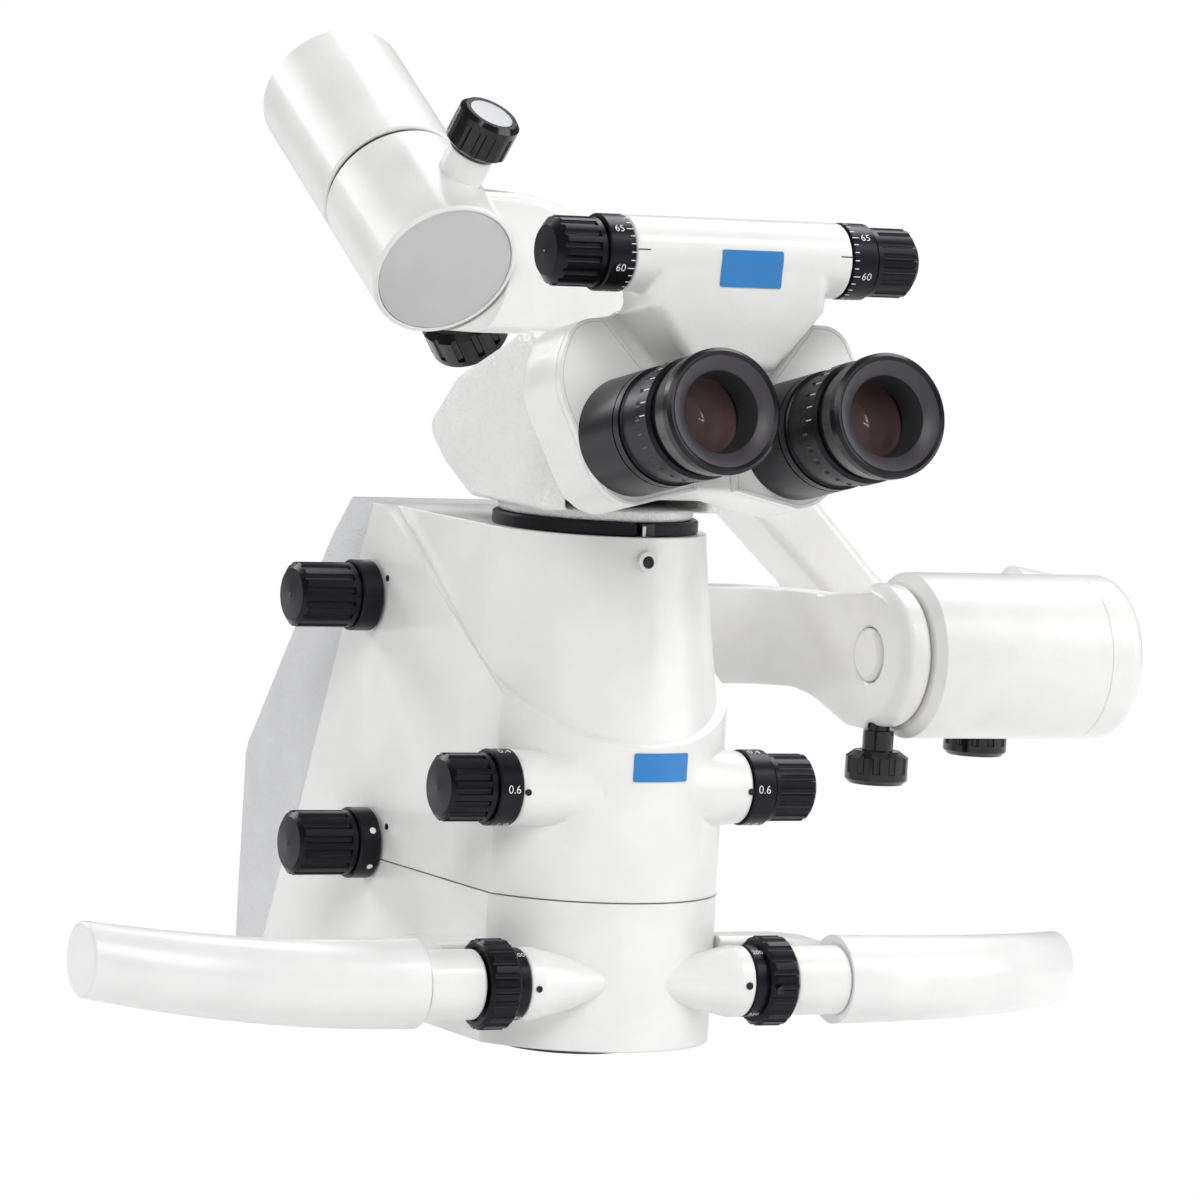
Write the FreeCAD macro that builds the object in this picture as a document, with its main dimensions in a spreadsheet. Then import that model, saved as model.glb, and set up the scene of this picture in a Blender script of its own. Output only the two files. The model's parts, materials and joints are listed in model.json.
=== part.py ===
# Head of a stereo operating microscope on its pendulum arm, as separate pieces.
# X is the object's right, Y its back and Z up; the light path is the Z axis, the objective ends at Z 0.
import FreeCAD, Part
import math
import os

import Sketcher

os.makedirs("parts", exist_ok=True)
doc = FreeCAD.newDocument("microscope_head")
Vector = FreeCAD.Vector
Placement = FreeCAD.Placement
Rotation = FreeCAD.Rotation
TOP = Vector(0, 0, 1)
RIGHT = Vector(1, 0, 0)
BACK = Vector(0, 1, 0)

# Driving dimensions in millimetres; the sheet below says what each one is.
run_fit = 0.05
part_gap = 0.4
body_bottom = 5
body_top = 180
body_half = 44
nose_r = 48
neck_r = 39
seam_z = 56
wall = 3
ring_r = 35.6
ring_t = 4.6
path_r = 17
hinge_z = 214
base_half = 37
fork_half = 27.5
eye_half = 31.2
root_y = -80
root_z = 217.4
tube_r = 20.2
cup_r = 21
cup_end = 66
spigot_r = 11
slide_reach = 6.3
pd_high = 59.2
pd_fore = 16.6
pd_block_half = 41
pd_block_r = 12.8
dial_r = 13.1
dial_w = 8.6
knob_r = 11.7
knob_w = 18
shaft_r = 3
mag_y = -32.2
mag_z = 93.8
mag_x = 44.6
focus_y = -44.8
focus_z = 28.3
focus_x = 43.5
focus_r = 15.5
flank_knob_y = 81
flank_knob_z = 147.4
lamp_knob_y = 72
lamp_knob_z = 60.9
collar_r = 12
collar_w = 21
grip_r = 15.4
grip_end_r = 13
grip_run = 109
grip_sweep = 31
grip_rise = 1.6
arm_r = 27.4
arm_y = 126
arm_z = 260.5
hub_w = 50
arm_w = 66
pivot_r = 12
socket_r = 16
beam_y = 130
beam_w = 40
drum_y = 50
drum_z = 131.4
drum_x = 153.6
drum_w = 72.4
drum_r = 30
stub_r = 10
link_w = 12.2
lock_r = 11.7
lens_r = 14

sheet = doc.addObject("Spreadsheet::Sheet", "Sizes")


class Size:
    """A length with the formula that the document keeps for it."""

    def __init__(self, value, text):
        self.value = float(value)
        self.text = text

    @staticmethod
    def of(other):
        return other if isinstance(other, Size) else Size(other, f"{other:g}")

    def __add__(self, other):
        b = Size.of(other)
        return Size(self.value + b.value, f"({self.text} + {b.text})")

    def __sub__(self, other):
        b = Size.of(other)
        return Size(self.value - b.value, f"({self.text} - {b.text})")

    def __mul__(self, other):
        b = Size.of(other)
        return Size(self.value * b.value, f"({self.text} * {b.text})")

    def __truediv__(self, other):
        b = Size.of(other)
        return Size(self.value / b.value, f"({self.text} / {b.text})")

    def __radd__(self, other):
        return Size.of(other) + self

    def __rsub__(self, other):
        return Size.of(other) - self

    def __rmul__(self, other):
        return Size.of(other) * self

    def __neg__(self):
        return Size(-self.value, f"(-1 * {self.text})")


class Sizes:
    """The driving dimensions, each in a cell of its own."""


D = Sizes()
row = 0


def size(alias, value, note):
    """Put one driving dimension into the sheet."""
    global row
    row += 1
    sheet.set(f"A{row}", note)
    sheet.set(f"B{row}", str(value))
    sheet.setAlias(f"B{row}", alias)
    setattr(D, alias, Size(value, f"Sizes.{alias}"))


# Fits between pieces that turn or slide on each other, and gaps between pieces that only face each other.
size("run_fit", run_fit, "radial play of a turning fit")
size("part_gap", part_gap, "gap between neighbouring shells")
# Head body.
size("body_bottom", body_bottom, "height of the underside of the body")
size("body_top", body_top, "height of the top face of the body")
size("body_half", body_half, "half width of the body")
size("nose_r", nose_r, "radius of the rounded front of the body")
size("neck_r", neck_r, "radius of the neck under the turning ring")
size("seam_z", seam_z, "height of the joint between upper and lower housing")
size("wall", wall, "wall of the housings")
# Turning ring and binocular base.
size("ring_r", ring_r, "radius of the turning ring")
size("ring_t", ring_t, "thickness of the turning ring")
size("path_r", path_r, "radius of the opening for the two light paths")
size("hinge_z", hinge_z, "height of the tilting axis of the binocular")
size("base_half", base_half, "half width of the binocular base")
size("fork_half", fork_half, "half width of the slot in the binocular base")
# Binocular head, in its own frame whose Z is the line of sight.
size("eye_half", eye_half, "half of the eye distance at rest")
size("root_y", root_y, "depth of the front of the binocular head")
size("root_z", root_z, "height of the eyepieces at the binocular head")
size("tube_r", tube_r, "radius of the eyepiece tube")
size("cup_r", cup_r, "radius of the eyecup rim")
size("cup_end", cup_end, "distance of the eyecup rim from the head")
size("spigot_r", spigot_r, "radius of the guide spigot behind each eyepiece plate")
size("slide_reach", slide_reach, "travel of each eyepiece from the middle of its slot")
size("pd_high", pd_high, "height of the eye distance shaft above the eyepieces")
size("pd_fore", pd_fore, "distance of the eye distance shaft before the head")
size("pd_block_half", pd_block_half, "half width of the eye distance block")
size("pd_block_r", pd_block_r, "radius of the top of the eye distance block")
# Control knobs.
size("dial_r", dial_r, "radius of a dial ring")
size("dial_w", dial_w, "width of a dial ring")
size("knob_r", knob_r, "radius of a fluted knob")
size("knob_w", knob_w, "length of a fluted knob")
size("shaft_r", shaft_r, "radius of a control shaft")
size("mag_y", mag_y, "depth of the magnification shaft")
size("mag_z", mag_z, "height of the magnification shaft")
size("mag_x", mag_x, "inner end of the magnification dial")
size("focus_y", focus_y, "depth of the focus shaft")
size("focus_z", focus_z, "height of the focus shaft")
size("focus_x", focus_x, "inner end of the focus dial")
size("focus_r", focus_r, "radius of the knurled focus ring")
size("flank_knob_y", flank_knob_y, "depth of the upper knob on the flank")
size("flank_knob_z", flank_knob_z, "height of the upper knob on the flank")
size("lamp_knob_y", lamp_knob_y, "depth of the lower knob on the flank")
size("lamp_knob_z", lamp_knob_z, "height of the lower knob on the flank")
# Handles.
size("collar_r", collar_r, "radius of the handle collar")
size("collar_w", collar_w, "length of the handle collar")
size("grip_r", grip_r, "radius of the grip at its inner end")
size("grip_end_r", grip_end_r, "radius of the grip at its outer end")
size("grip_run", grip_run, "reach of the grip along the width")
size("grip_sweep", grip_sweep, "how far the grip is swept back")
size("grip_rise", grip_rise, "how far the grip rises")
# Carrier.
size("arm_r", arm_r, "radius of the arm end")
size("arm_y", arm_y, "depth of the front of the arm hub")
size("arm_z", arm_z, "height of the front of the arm hub")
size("hub_w", hub_w, "length of the hub")
size("arm_w", arm_w, "length of the arm end behind the hub")
size("pivot_r", pivot_r, "radius of the pendulum shaft")
size("socket_r", socket_r, "radius of the socket for the stand")
size("beam_y", beam_y, "depth of the front of the pendulum beam")
size("beam_w", beam_w, "thickness of the pendulum beam")
size("drum_y", drum_y, "depth of the tilting axis of the head")
size("drum_z", drum_z, "height of the tilting axis of the head")
size("drum_x", drum_x, "inner end of the spring drum")
size("drum_w", drum_w, "length of the spring drum")
size("drum_r", drum_r, "radius of the spring drum")
size("stub_r", stub_r, "radius of the tilting shaft")
size("link_w", link_w, "thickness of the tilting bracket")
size("lock_r", lock_r, "radius of a lock knob")
size("lens_r", lens_r, "radius of the objective lens")
doc.recompute()

SLOPE = 30.5
LOOK_UP = 12.4
pieces = []


def bind(obj, prop, amount):
    """Set one property of an object and bind it to the sheet where it has a formula."""
    amount = Size.of(amount)
    if "Sizes." in amount.text:
        obj.setExpression(prop, amount.text)


def place(obj, x=0, y=0, z=0, turn=None):
    """Place an object, with each coordinate bound to the sheet."""
    x, y, z = Size.of(x), Size.of(y), Size.of(z)
    obj.Placement = Placement(Vector(x.value, y.value, z.value), turn or Rotation())
    for axis, amount in (("x", x), ("y", y), ("z", z)):
        bind(obj, f"Placement.Base.{axis}", amount)


def new_body(name):
    return doc.addObject("PartDesign::Body", name)


def outline(body, plane, points, name="outline", lift=0):
    """Closed sketch outline; a third value at a point makes the next side an arc of that radius."""
    sketch = body.newObject("Sketcher::SketchObject", name)
    origin = [f for f in body.Origin.OriginFeatures if f.Role == plane][0]
    sketch.AttachmentSupport = [(origin, "")]
    sketch.MapMode = "FlatFace"
    lift = Size.of(lift)
    sketch.AttachmentOffset = Placement(Vector(0, 0, lift.value), Rotation())
    bind(sketch, "AttachmentOffset.Base.z", lift)
    spots = [(Size.of(p[0]), Size.of(p[1])) for p in points]
    count = len(points)
    ends = []
    for i, p in enumerate(points):
        a = Vector(spots[i][0].value, spots[i][1].value, 0)
        b = Vector(spots[(i + 1) % count][0].value, spots[(i + 1) % count][1].value, 0)
        if len(p) == 2:
            sketch.addGeometry(Part.LineSegment(a, b), False)
            ends.append((1, 2))
            continue
        bend = Size.of(p[2]).value
        half = (b - a) * 0.5
        rise = math.sqrt(max(bend * bend - half.Length ** 2, 0.0))
        across = Vector(-half.y, half.x, 0).normalize() * math.copysign(1.0, bend)
        centre = a + half + across * rise
        # A sketch keeps every arc turning left, so an arc that turns right is drawn from its far end.
        start, stop = (a, b) if bend > 0 else (b, a)
        first = math.atan2(start.y - centre.y, start.x - centre.x)
        last = math.atan2(stop.y - centre.y, stop.x - centre.x)
        last += 2 * math.pi if last < first else 0.0
        sketch.addGeometry(Part.ArcOfCircle(Part.Circle(centre, TOP, abs(bend)), first, last), False)
        ends.append((1, 2) if bend > 0 else (2, 1))
    for i in range(count):
        j = (i + 1) % count
        sketch.addConstraint(Sketcher.Constraint("Coincident", i, ends[i][1], j, ends[j][0]))
    for i in range(count):
        for kind, amount in (("DistanceX", spots[i][0]), ("DistanceY", spots[i][1])):
            n = sketch.addConstraint(Sketcher.Constraint(kind, -1, 1, i, ends[i][0], amount.value))
            bind(sketch, f"Constraints[{n}]", amount)
    for i, p in enumerate(points):
        if len(p) == 3:
            bend = Size.of(p[2])
            radius = bend if bend.value > 0 else -bend
            n = sketch.addConstraint(Sketcher.Constraint("Radius", i, radius.value))
            bind(sketch, f"Constraints[{n}]", radius)
    return sketch


def circle(body, plane, radius, x=0, y=0, lift=0, name="circle"):
    """Sketch with one circle."""
    sketch = body.newObject("Sketcher::SketchObject", name)
    origin = [f for f in body.Origin.OriginFeatures if f.Role == plane][0]
    sketch.AttachmentSupport = [(origin, "")]
    sketch.MapMode = "FlatFace"
    radius, x, y, lift = Size.of(radius), Size.of(x), Size.of(y), Size.of(lift)
    sketch.AttachmentOffset = Placement(Vector(0, 0, lift.value), Rotation())
    bind(sketch, "AttachmentOffset.Base.z", lift)
    sketch.addGeometry(Part.Circle(Vector(x.value, y.value, 0), TOP, radius.value), False)
    n = sketch.addConstraint(Sketcher.Constraint("Radius", 0, radius.value))
    bind(sketch, f"Constraints[{n}]", radius)
    for kind, amount in (("DistanceX", x), ("DistanceY", y)):
        n = sketch.addConstraint(Sketcher.Constraint(kind, -1, 1, 0, 3, amount.value))
        bind(sketch, f"Constraints[{n}]", amount)
    return sketch


def revolve(body, points, name="turned"):
    """Turn a profile of (radius, height) about the body's own Z axis."""
    sketch = outline(body, "XZ_Plane", points, name + "_profile")
    feature = body.newObject("PartDesign::Revolution", name)
    feature.Profile = sketch
    feature.ReferenceAxis = (sketch, ["V_Axis"])
    feature.Angle = 360
    return feature


def pad(body, sketch, length, name="pad", middle=False, reverse=False):
    feature = body.newObject("PartDesign::Pad", name)
    feature.Profile = sketch
    feature.Length = Size.of(length).value
    bind(feature, "Length", length)
    feature.Midplane = middle
    feature.Reversed = reverse
    return feature


def pocket(body, sketch, length, name="pocket", middle=False, reverse=False):
    """Cut a sketch out of the body and make sure that it cuts."""
    doc.recompute()
    before = body.Shape.Volume
    feature = body.newObject("PartDesign::Pocket", name)
    feature.Profile = sketch
    feature.Length = Size.of(length).value
    bind(feature, "Length", length)
    feature.Midplane = middle
    feature.Reversed = reverse
    doc.recompute()
    if body.Shape.Volume > before - 0.01:
        raise ValueError(f"{body.Name}.{name} cuts nothing")
    return feature


def around(body, feature, count, name="around"):
    """Repeat a feature around the body's Z axis."""
    pattern = body.newObject("PartDesign::PolarPattern", name)
    pattern.Originals = [feature]
    axis = [f for f in body.Origin.OriginFeatures if f.Role == "Z_Axis"][0]
    pattern.Axis = (axis, [""])
    pattern.Angle = 360
    pattern.Occurrences = count
    body.Tip = pattern
    doc.recompute()
    return pattern


def soften(body, radius, choose, name="soften"):
    """Round the edges that choose() picks, on the body as it stands."""
    doc.recompute()
    tip = body.Tip
    names = [f"Edge{i + 1}" for i, e in enumerate(tip.Shape.Edges) if choose(e)]
    if not names:
        raise ValueError(f"{body.Name}.{name} finds no edge")
    feature = body.newObject("PartDesign::Fillet", name)
    feature.Base = (tip, names)
    feature.Radius = Size.of(radius).value
    bind(feature, "Radius", radius)
    doc.recompute()
    return feature


def keep(obj, label):
    """Mark an object as a finished piece of the microscope."""
    obj.Label = label
    pieces.append(obj)
    return obj


def fuse(name, parts):
    obj = doc.addObject("Part::MultiFuse", name)
    obj.Shapes = parts
    obj.Refine = True
    return obj


def cut(name, base, tool):
    obj = doc.addObject("Part::Cut", name)
    obj.Base = base
    obj.Tool = tool
    obj.Refine = True
    return obj


def rod(name, radius, length, x=0, y=0, z=0, turn=None):
    """A plain cylinder from its foot point along its turned Z axis."""
    obj = doc.addObject("Part::Cylinder", name)
    obj.Radius, obj.Height = Size.of(radius).value, Size.of(length).value
    bind(obj, "Radius", radius)
    bind(obj, "Height", length)
    place(obj, x, y, z, turn)
    return obj


def block(name, dx, dy, dz, x=0, y=0, z=0, turn=None):
    """A plain box from its corner."""
    obj = doc.addObject("Part::Box", name)
    for prop, amount in (("Length", dx), ("Width", dy), ("Height", dz)):
        setattr(obj, prop, Size.of(amount).value)
        bind(obj, prop, amount)
    place(obj, x, y, z, turn)
    return obj


# Turns that lay a body's Z axis along one of the object's directions.
TO_RIGHT = Rotation(BACK, 90)
TO_LEFT = Rotation(BACK, -90)
TO_DOWN = Rotation(RIGHT, 180)
ALONG_LOOK = Rotation(RIGHT, 90 - LOOK_UP)
ALONG_ARM = Rotation(RIGHT, 90 + SLOPE - 180)
SIDES = (("left", -1, TO_LEFT), ("right", 1, TO_RIGHT))


def knob_profile(bore, dial_r, dial_w, knob_r, knob_w, dome=2.2):
    """Half section of a dial ring with a fluted barrel and a domed end, open towards its shaft."""
    end = dial_w + knob_w
    return [
        (bore, 0), (dial_r - 0.4, 0), (dial_r, 0.4), (dial_r, dial_w - 0.5), (dial_r - 0.5, dial_w),
        (knob_r - 0.9, dial_w), (knob_r - 0.9, dial_w + 0.8), (knob_r, dial_w + 0.8),
        (knob_r, end - dome), (knob_r - dome, end - 0.6), (0, end),
        (0, dial_w + 5), (bore, dial_w + 5),
    ]


def fluted_knob(name, bore, dial_r, dial_w, knob_r, knob_w, flutes, flute_r, dome=2.2):
    """Control knob: turned barrel and dial, flutes cut along the barrel and run out before the dial."""
    body = new_body(name)
    revolve(body, knob_profile(bore, dial_r, dial_w, knob_r, knob_w, dome))
    mark = circle(body, "XY_Plane", flute_r, knob_r + flute_r * 0.45, 0, dial_w + 2.6, "flute")
    groove = pocket(body, mark, knob_w, "flute_cut", reverse=True)
    around(body, groove, flutes)
    return body


def arm_place(obj, along=0, across=0, high=0, turn=None):
    """Place an object in the frame of the arm, whose Z axis runs up and back along the arm end."""
    spot = ALONG_ARM.multVec(Vector(across, -high, along))
    place(obj, spot.x, D.arm_y + spot.y, D.arm_z + spot.z, ALONG_ARM.multiply(turn) if turn else ALONG_ARM)


def look_place(obj, x=0, high=0, fore=0, turn=None):
    """Place an object in the frame of the eyepieces, whose Z axis points at the viewer."""
    spot = ALONG_LOOK.multVec(Vector(0, Size.of(high).value, Size.of(fore).value))
    place(obj, x, D.root_y + spot.y, D.root_z + spot.z, ALONG_LOOK.multiply(turn) if turn else ALONG_LOOK)


# Carrier arm: the fixed arm end with the pendulum shaft, and the washer that shows as a thin line.
seat = D.hub_w + 2
arm_top = seat + D.arm_w
arm_end = new_body("arm_end_body")
revolve(arm_end, [
    (D.pivot_r, seat), (D.arm_r - 0.8, seat), (D.arm_r, seat + 0.8), (D.arm_r, arm_top - 1),
    (D.arm_r - 1, arm_top), (D.socket_r + 0.8, arm_top), (D.socket_r, arm_top - 0.8),
    (D.socket_r, seat + 30), (D.pivot_r, seat + 30),
])
arm_place(arm_end)
keep(arm_end, "arm_end")

pivot = new_body("pivot_body")
revolve(pivot, [(0, 4), (D.pivot_r + 8, 4), (D.pivot_r + 8, 9), (D.pivot_r, 9), (D.pivot_r, seat + 28),
                (D.pivot_r - 1, seat + 29), (0, seat + 29)])
arm_place(pivot)
keep(pivot, "pendulum_shaft")

washer = new_body("washer_body")
revolve(washer, [(D.pivot_r + 0.3, D.hub_w), (D.arm_r - 1.4, D.hub_w), (D.arm_r - 1.4, seat), (D.pivot_r + 0.3, seat)])
arm_place(washer)
keep(washer, "friction_washer")

# Pendulum: hub, curved beam and the spring drum's housing in one casting.
hub = new_body("hub_body")
revolve(hub, [
    (D.pivot_r + D.run_fit, 9), (D.pivot_r + 8.6, 9), (D.pivot_r + 8.6, 2), (D.arm_r - 1.8, 2), (D.arm_r - 1.8, 0),
    (D.arm_r - 0.8, 0), (D.arm_r, 0.8), (D.arm_r, D.hub_w - 0.8), (D.arm_r - 0.8, D.hub_w),
    (D.pivot_r + D.run_fit, D.hub_w),
], "hub")
arm_place(hub)
beam = new_body("beam_body")
curve = outline(beam, "XZ_Plane", [
    (8, 289), (30, 289, -68), (76, 266), (190, 152.5), (203, 142), (222, 140), (222, 110), (194, 110), (184, 116),
    (178, 134), (166, 147), (72, 232, -14), (58, 238), (8, 238),
])
pad(beam, curve, D.beam_w, "beam", reverse=True)
place(beam, 0, D.beam_y, 0)
soften(beam, 4, lambda e: e.BoundBox.YLength < 1e-6, "beam_round")
face_room = rod("face_room", D.arm_r + 1, 60, 0, 0, 0)
arm_place(face_room, -57)
knob_room = block("knob_room", 62, 30, 30, -10, 154, 224)
washer_room = block("washer_room", 40, 30, 40, -10, 158, 264)
beam_trimmed = cut("beam_trimmed", beam, fuse("beam_rooms", [face_room, knob_room, washer_room]))
saddle = block("saddle", 44, D.beam_y + 20 - D.drum_y, 26, 175, D.drum_y, 110.8)
drum_wall = new_body("drum_body")
revolve(drum_wall, [
    (D.stub_r + D.run_fit, 0), (D.drum_r - 3, 0), (D.drum_r, 3), (D.drum_r, D.drum_w), (D.drum_r - 3, D.drum_w),
    (D.drum_r - 3, 8), (D.stub_r + D.run_fit, 8),
], "drum")
place(drum_wall, D.drum_x, D.drum_y, D.drum_z, TO_RIGHT)
saddle_hole = rod("saddle_hole", D.drum_r - 1.3, 60, 168, D.drum_y, D.drum_z, TO_RIGHT)
hump = new_body("hump_body")
revolve(hump, [(0, 0), (8, 0), (11.6, 3.6), (8.6, D.drum_x + D.drum_w - 205.2), (0, D.drum_x + D.drum_w - 205.2)], "hump")
place(hump, 205, D.drum_y + 15, D.drum_z + 20.1, TO_RIGHT)
saddle_whole = fuse("saddle_whole", [saddle, hump])
saddle_block = cut("saddle_block", saddle_whole, saddle_hole)
lock_boss = rod("lock_boss", 8.5, 22, 0, 0, 0)
boss_turn = Rotation(TOP, 10).multiply(Rotation(RIGHT, 90))
arm_place(lock_boss, 24, 5.4, 14, boss_turn)
under_boss = rod("under_boss", 9, 26, 0, 0, 0)
under_turn = Rotation(TOP, -37).multiply(Rotation(RIGHT, -90))
arm_place(under_boss, 30, 12.4, -16, under_turn)
pendulum = fuse("pendulum_shape", [hub, beam_trimmed, saddle_block, drum_wall, lock_boss, under_boss])
shaft_room = rod("shaft_room", D.pivot_r + D.run_fit, 60, 0, 0, 0)
arm_place(shaft_room, -1)
front_room = rod("front_room", D.pivot_r + 8.6, 8, 0, 0, 0)
arm_place(front_room, 1)
lock_hole = rod("lock_hole", 4 + D.run_fit, 30, 0, 0, 0)
arm_place(lock_hole, 24, 5.4, 14, boss_turn)
under_hole = rod("under_hole", 4 + D.run_fit, 34, 0, 0, 0)
arm_place(under_hole, 30, 12.4, -16, under_turn)
drum_hole = rod("drum_hole", 4 + D.run_fit, 20, 207, D.drum_y + 32, 104, None)
rooms = fuse("pendulum_rooms", [shaft_room, front_room, lock_hole, under_hole, drum_hole])
keep(cut("pendulum_cut", pendulum, rooms), "pendulum_arm")

disc = new_body("disc_body")
pad(disc, circle(disc, "XY_Plane", D.arm_r - 2.1), 1.6, "disc")
arm_place(disc, 0.4)
keep(disc, "hub_disc")

cap = new_body("drum_cap_body")
revolve(cap, [
    (0, D.drum_w + 1), (D.drum_r - 3, D.drum_w + 1), (D.drum_r - 3, D.drum_w), (D.drum_r, D.drum_w),
    (D.drum_r, D.drum_w + 9, 6.01), (D.drum_r - 6, D.drum_w + 15), (0, D.drum_w + 15),
])
place(cap, D.drum_x, D.drum_y, D.drum_z, TO_RIGHT)
cap_hump = new_body("cap_hump_body")
revolve(cap_hump, [(0, D.drum_w + 1.2), (8.5, D.drum_w + 1.2), (7.2, D.drum_w + 13), (5.4, D.drum_w + 14.6), (0, D.drum_w + 14.6)])
place(cap_hump, D.drum_x, D.drum_y + 15, D.drum_z + 20.1, TO_RIGHT)
keep(fuse("cap_shape", [cap, cap_hump]), "drum_end_cap")

spring = new_body("spring_body")
revolve(spring, [
    (D.stub_r + 0.6, 14), (D.drum_r - 6, 14), (D.drum_r - 6, D.drum_w - 12), (D.stub_r + 0.6, D.drum_w - 12),
])
place(spring, D.drum_x, D.drum_y, D.drum_z, TO_RIGHT)


def lock_knob(name, label, stem, radius, high=16, neck=0):
    """Lock knob with a grey inlay seat, short flutes and a threaded stem below its foot."""
    body = new_body(name)
    foot = [(4, -neck), (5.6, -neck), (5.6, 0)] if neck else [(4, 0)]
    revolve(body, [
        (0, -stem), (4, -stem), *foot, (radius - 3.2, 0), (radius, 2.4), (radius, high - 1.6),
        (radius - 1.6, high), (radius - 3.4, high), (radius - 3.4, high - 0.6), (0, high - 0.6),
    ])
    mark = circle(body, "XY_Plane", 1.5, radius + 0.5, 0, -1, "flute")
    around(body, pocket(body, mark, high - 3, "flute_cut", reverse=True), 12)
    return keep(body, label)


knob = lock_knob("arm_lock_body", "pendulum_lock_knob", 10, D.lock_r)
arm_place(knob, 24, 5.4 + 22.6 * math.sin(math.radians(10)), 14 + 22.6 * math.cos(math.radians(10)), boss_turn)
knob = lock_knob("under_lock_body", "arm_lock_knob", 11, D.lock_r + 3.3)
arm_place(knob, 30, 12.4 + 26.6 * math.sin(math.radians(37)), -16 - 26.6 * math.cos(math.radians(37)), under_turn)
knob = lock_knob("drum_lock_body", "drum_lock_knob", 12, D.lock_r)
place(knob, 207, D.drum_y + 32, 107.6, TO_DOWN)
knob = lock_knob("tilt_lock_body", "tilt_lock_knob", 21, D.lock_r - 0.3, 12, 7.2)
place(knob, 147.2, D.drum_y, D.drum_z - 34.5, TO_DOWN)

# Tilting bracket: curved link from the flank of the head to the tilting axis.
link = new_body("link_body")
plan = outline(link, "XY_Plane", [
    (D.body_half, 107), (118, 107, -23), (141, 84), (141, D.drum_y), (D.link_w + 141, D.drum_y),
    (D.link_w + 141, 84, 38), (115.2, 122), (D.body_half, 122),
], lift=D.drum_z - 27)
pad(link, plan, 51.5, "link")
link_taper = new_body("link_taper_body")
pad(link_taper, outline(link_taper, "YZ_Plane", [
    (40, 156.4), (90, 149.6), (130, 149.6), (130, 170), (40, 170),
]), 200, "link_top")
link_taper_low = new_body("link_taper_low_body")
pad(link_taper_low, outline(link_taper_low, "YZ_Plane", [
    (40, 102.4), (58, 102.4), (98, 114.2), (130, 114.2), (130, 95), (40, 95),
]), 200, "link_bottom")
head_disc = new_body("link_head_body")
revolve(head_disc, [(D.stub_r, 0), (22.5, 0), (26, 3.6), (26, D.link_w - 2), (24, D.link_w), (D.stub_r, D.link_w)])
place(head_disc, 141, D.drum_y, D.drum_z, TO_RIGHT)
link_bore = rod("link_bore", D.stub_r, 40, 130, D.drum_y, D.drum_z, TO_RIGHT)
link_lock = rod("link_lock", 4 + D.run_fit, 20, 147.2, D.drum_y, D.drum_z - 33, None)
link_trimmed = cut("link_trimmed", link, fuse("link_tapers", [link_taper, link_taper_low]))
link_whole = fuse("link_whole", [link_trimmed, head_disc])
link_holes = fuse("link_holes", [link_bore, link_lock])
keep(cut("link_cut", link_whole, link_holes), "tilt_bracket")

stub = new_body("stub_body")
revolve(stub, [(0, 3), (D.stub_r, 3), (D.stub_r, 58), (D.stub_r - 1, 59), (0, 59)])
place(stub, 141, D.drum_y, D.drum_z, TO_RIGHT)
keep(stub, "tilt_shaft")
spring.Label = "balance_spring"
pieces.append(spring)
cover = new_body("link_cap_body")
revolve(cover, [(0, -1.2), (8, -1.2), (9.1, -0.2), (9.1, 0), (D.stub_r - 0.4, 0), (D.stub_r - 0.4, 2.6), (0, 2.6)])
place(cover, 141, D.drum_y, D.drum_z, TO_RIGHT)
keep(cover, "tilt_shaft_cap")

# Upper housing: rounded front and straight flanks, with the waisted neck let into its top.
front = new_body("front_body")
floor_z = D.seam_z + D.part_gap
nose_back = -22.2
plan = outline(front, "XY_Plane", [
    (-D.body_half, 160), (-D.body_half, nose_back, D.nose_r), (D.body_half, nose_back), (D.body_half, 160),
], lift=floor_z)
pad(front, plan, D.body_top - floor_z, "shell")
behind = outline(front, "YZ_Plane", [(83.2, 182), (220, 182), (220, 40), (141, 40)])
pocket(front, behind, 200, "seam_plane", middle=True)
above = outline(front, "YZ_Plane", [(-70, 99), (78, 181.6), (78, 200), (-70, 200)])
pocket(front, above, 200, "ridge", middle=True)


def neck_section(lift, radius, centre, name):
    reach = 84
    return outline(front, "XY_Plane", [
        (-radius, reach), (-radius, centre, radius + 0.01), (radius, centre), (radius, reach),
    ], name, lift)


top_section = neck_section(D.body_top, D.neck_r, 0, "neck_top")
middle_section = neck_section(D.body_top - 28, D.neck_r + 2.6, -1, "neck_middle")
low_section = neck_section(D.body_top - 70, D.neck_r + 8.2, -3, "neck_low")
neck = front.newObject("PartDesign::AdditiveLoft", "neck")
neck.Profile = top_section
neck.Sections = [middle_section, low_section]
doc.recompute()
room = outline(front, "XY_Plane", [
    (-D.body_half + D.wall, 96), (-D.body_half + D.wall, nose_back, D.nose_r - D.wall),
    (D.body_half - D.wall, nose_back), (D.body_half - D.wall, 96),
], "room_plan", floor_z)
pocket(front, room, 52, "low_room", reverse=True)
upper_room = outline(front, "XY_Plane", [
    (-D.neck_r + D.wall, 70), (-D.neck_r + D.wall, 0, D.neck_r - D.wall + 0.01), (D.neck_r - D.wall, 0),
    (D.neck_r - D.wall, 70),
], "neck_room_plan", floor_z + 51)
pocket(front, upper_room, D.body_top - floor_z - 51 - 4.5, "neck_room", reverse=True)
rear_room = outline(front, "YZ_Plane", [(30, 50), (150, 50), (90, 175.5), (80, 175.5), (30, 148)], "rear_room_plan")
pocket(front, rear_room, 74, "rear_room", middle=True)
path = circle(front, "XY_Plane", 26 + D.run_fit, 0, 0, D.body_top - 10)
pocket(front, path, 30, "path", reverse=True)

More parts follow.
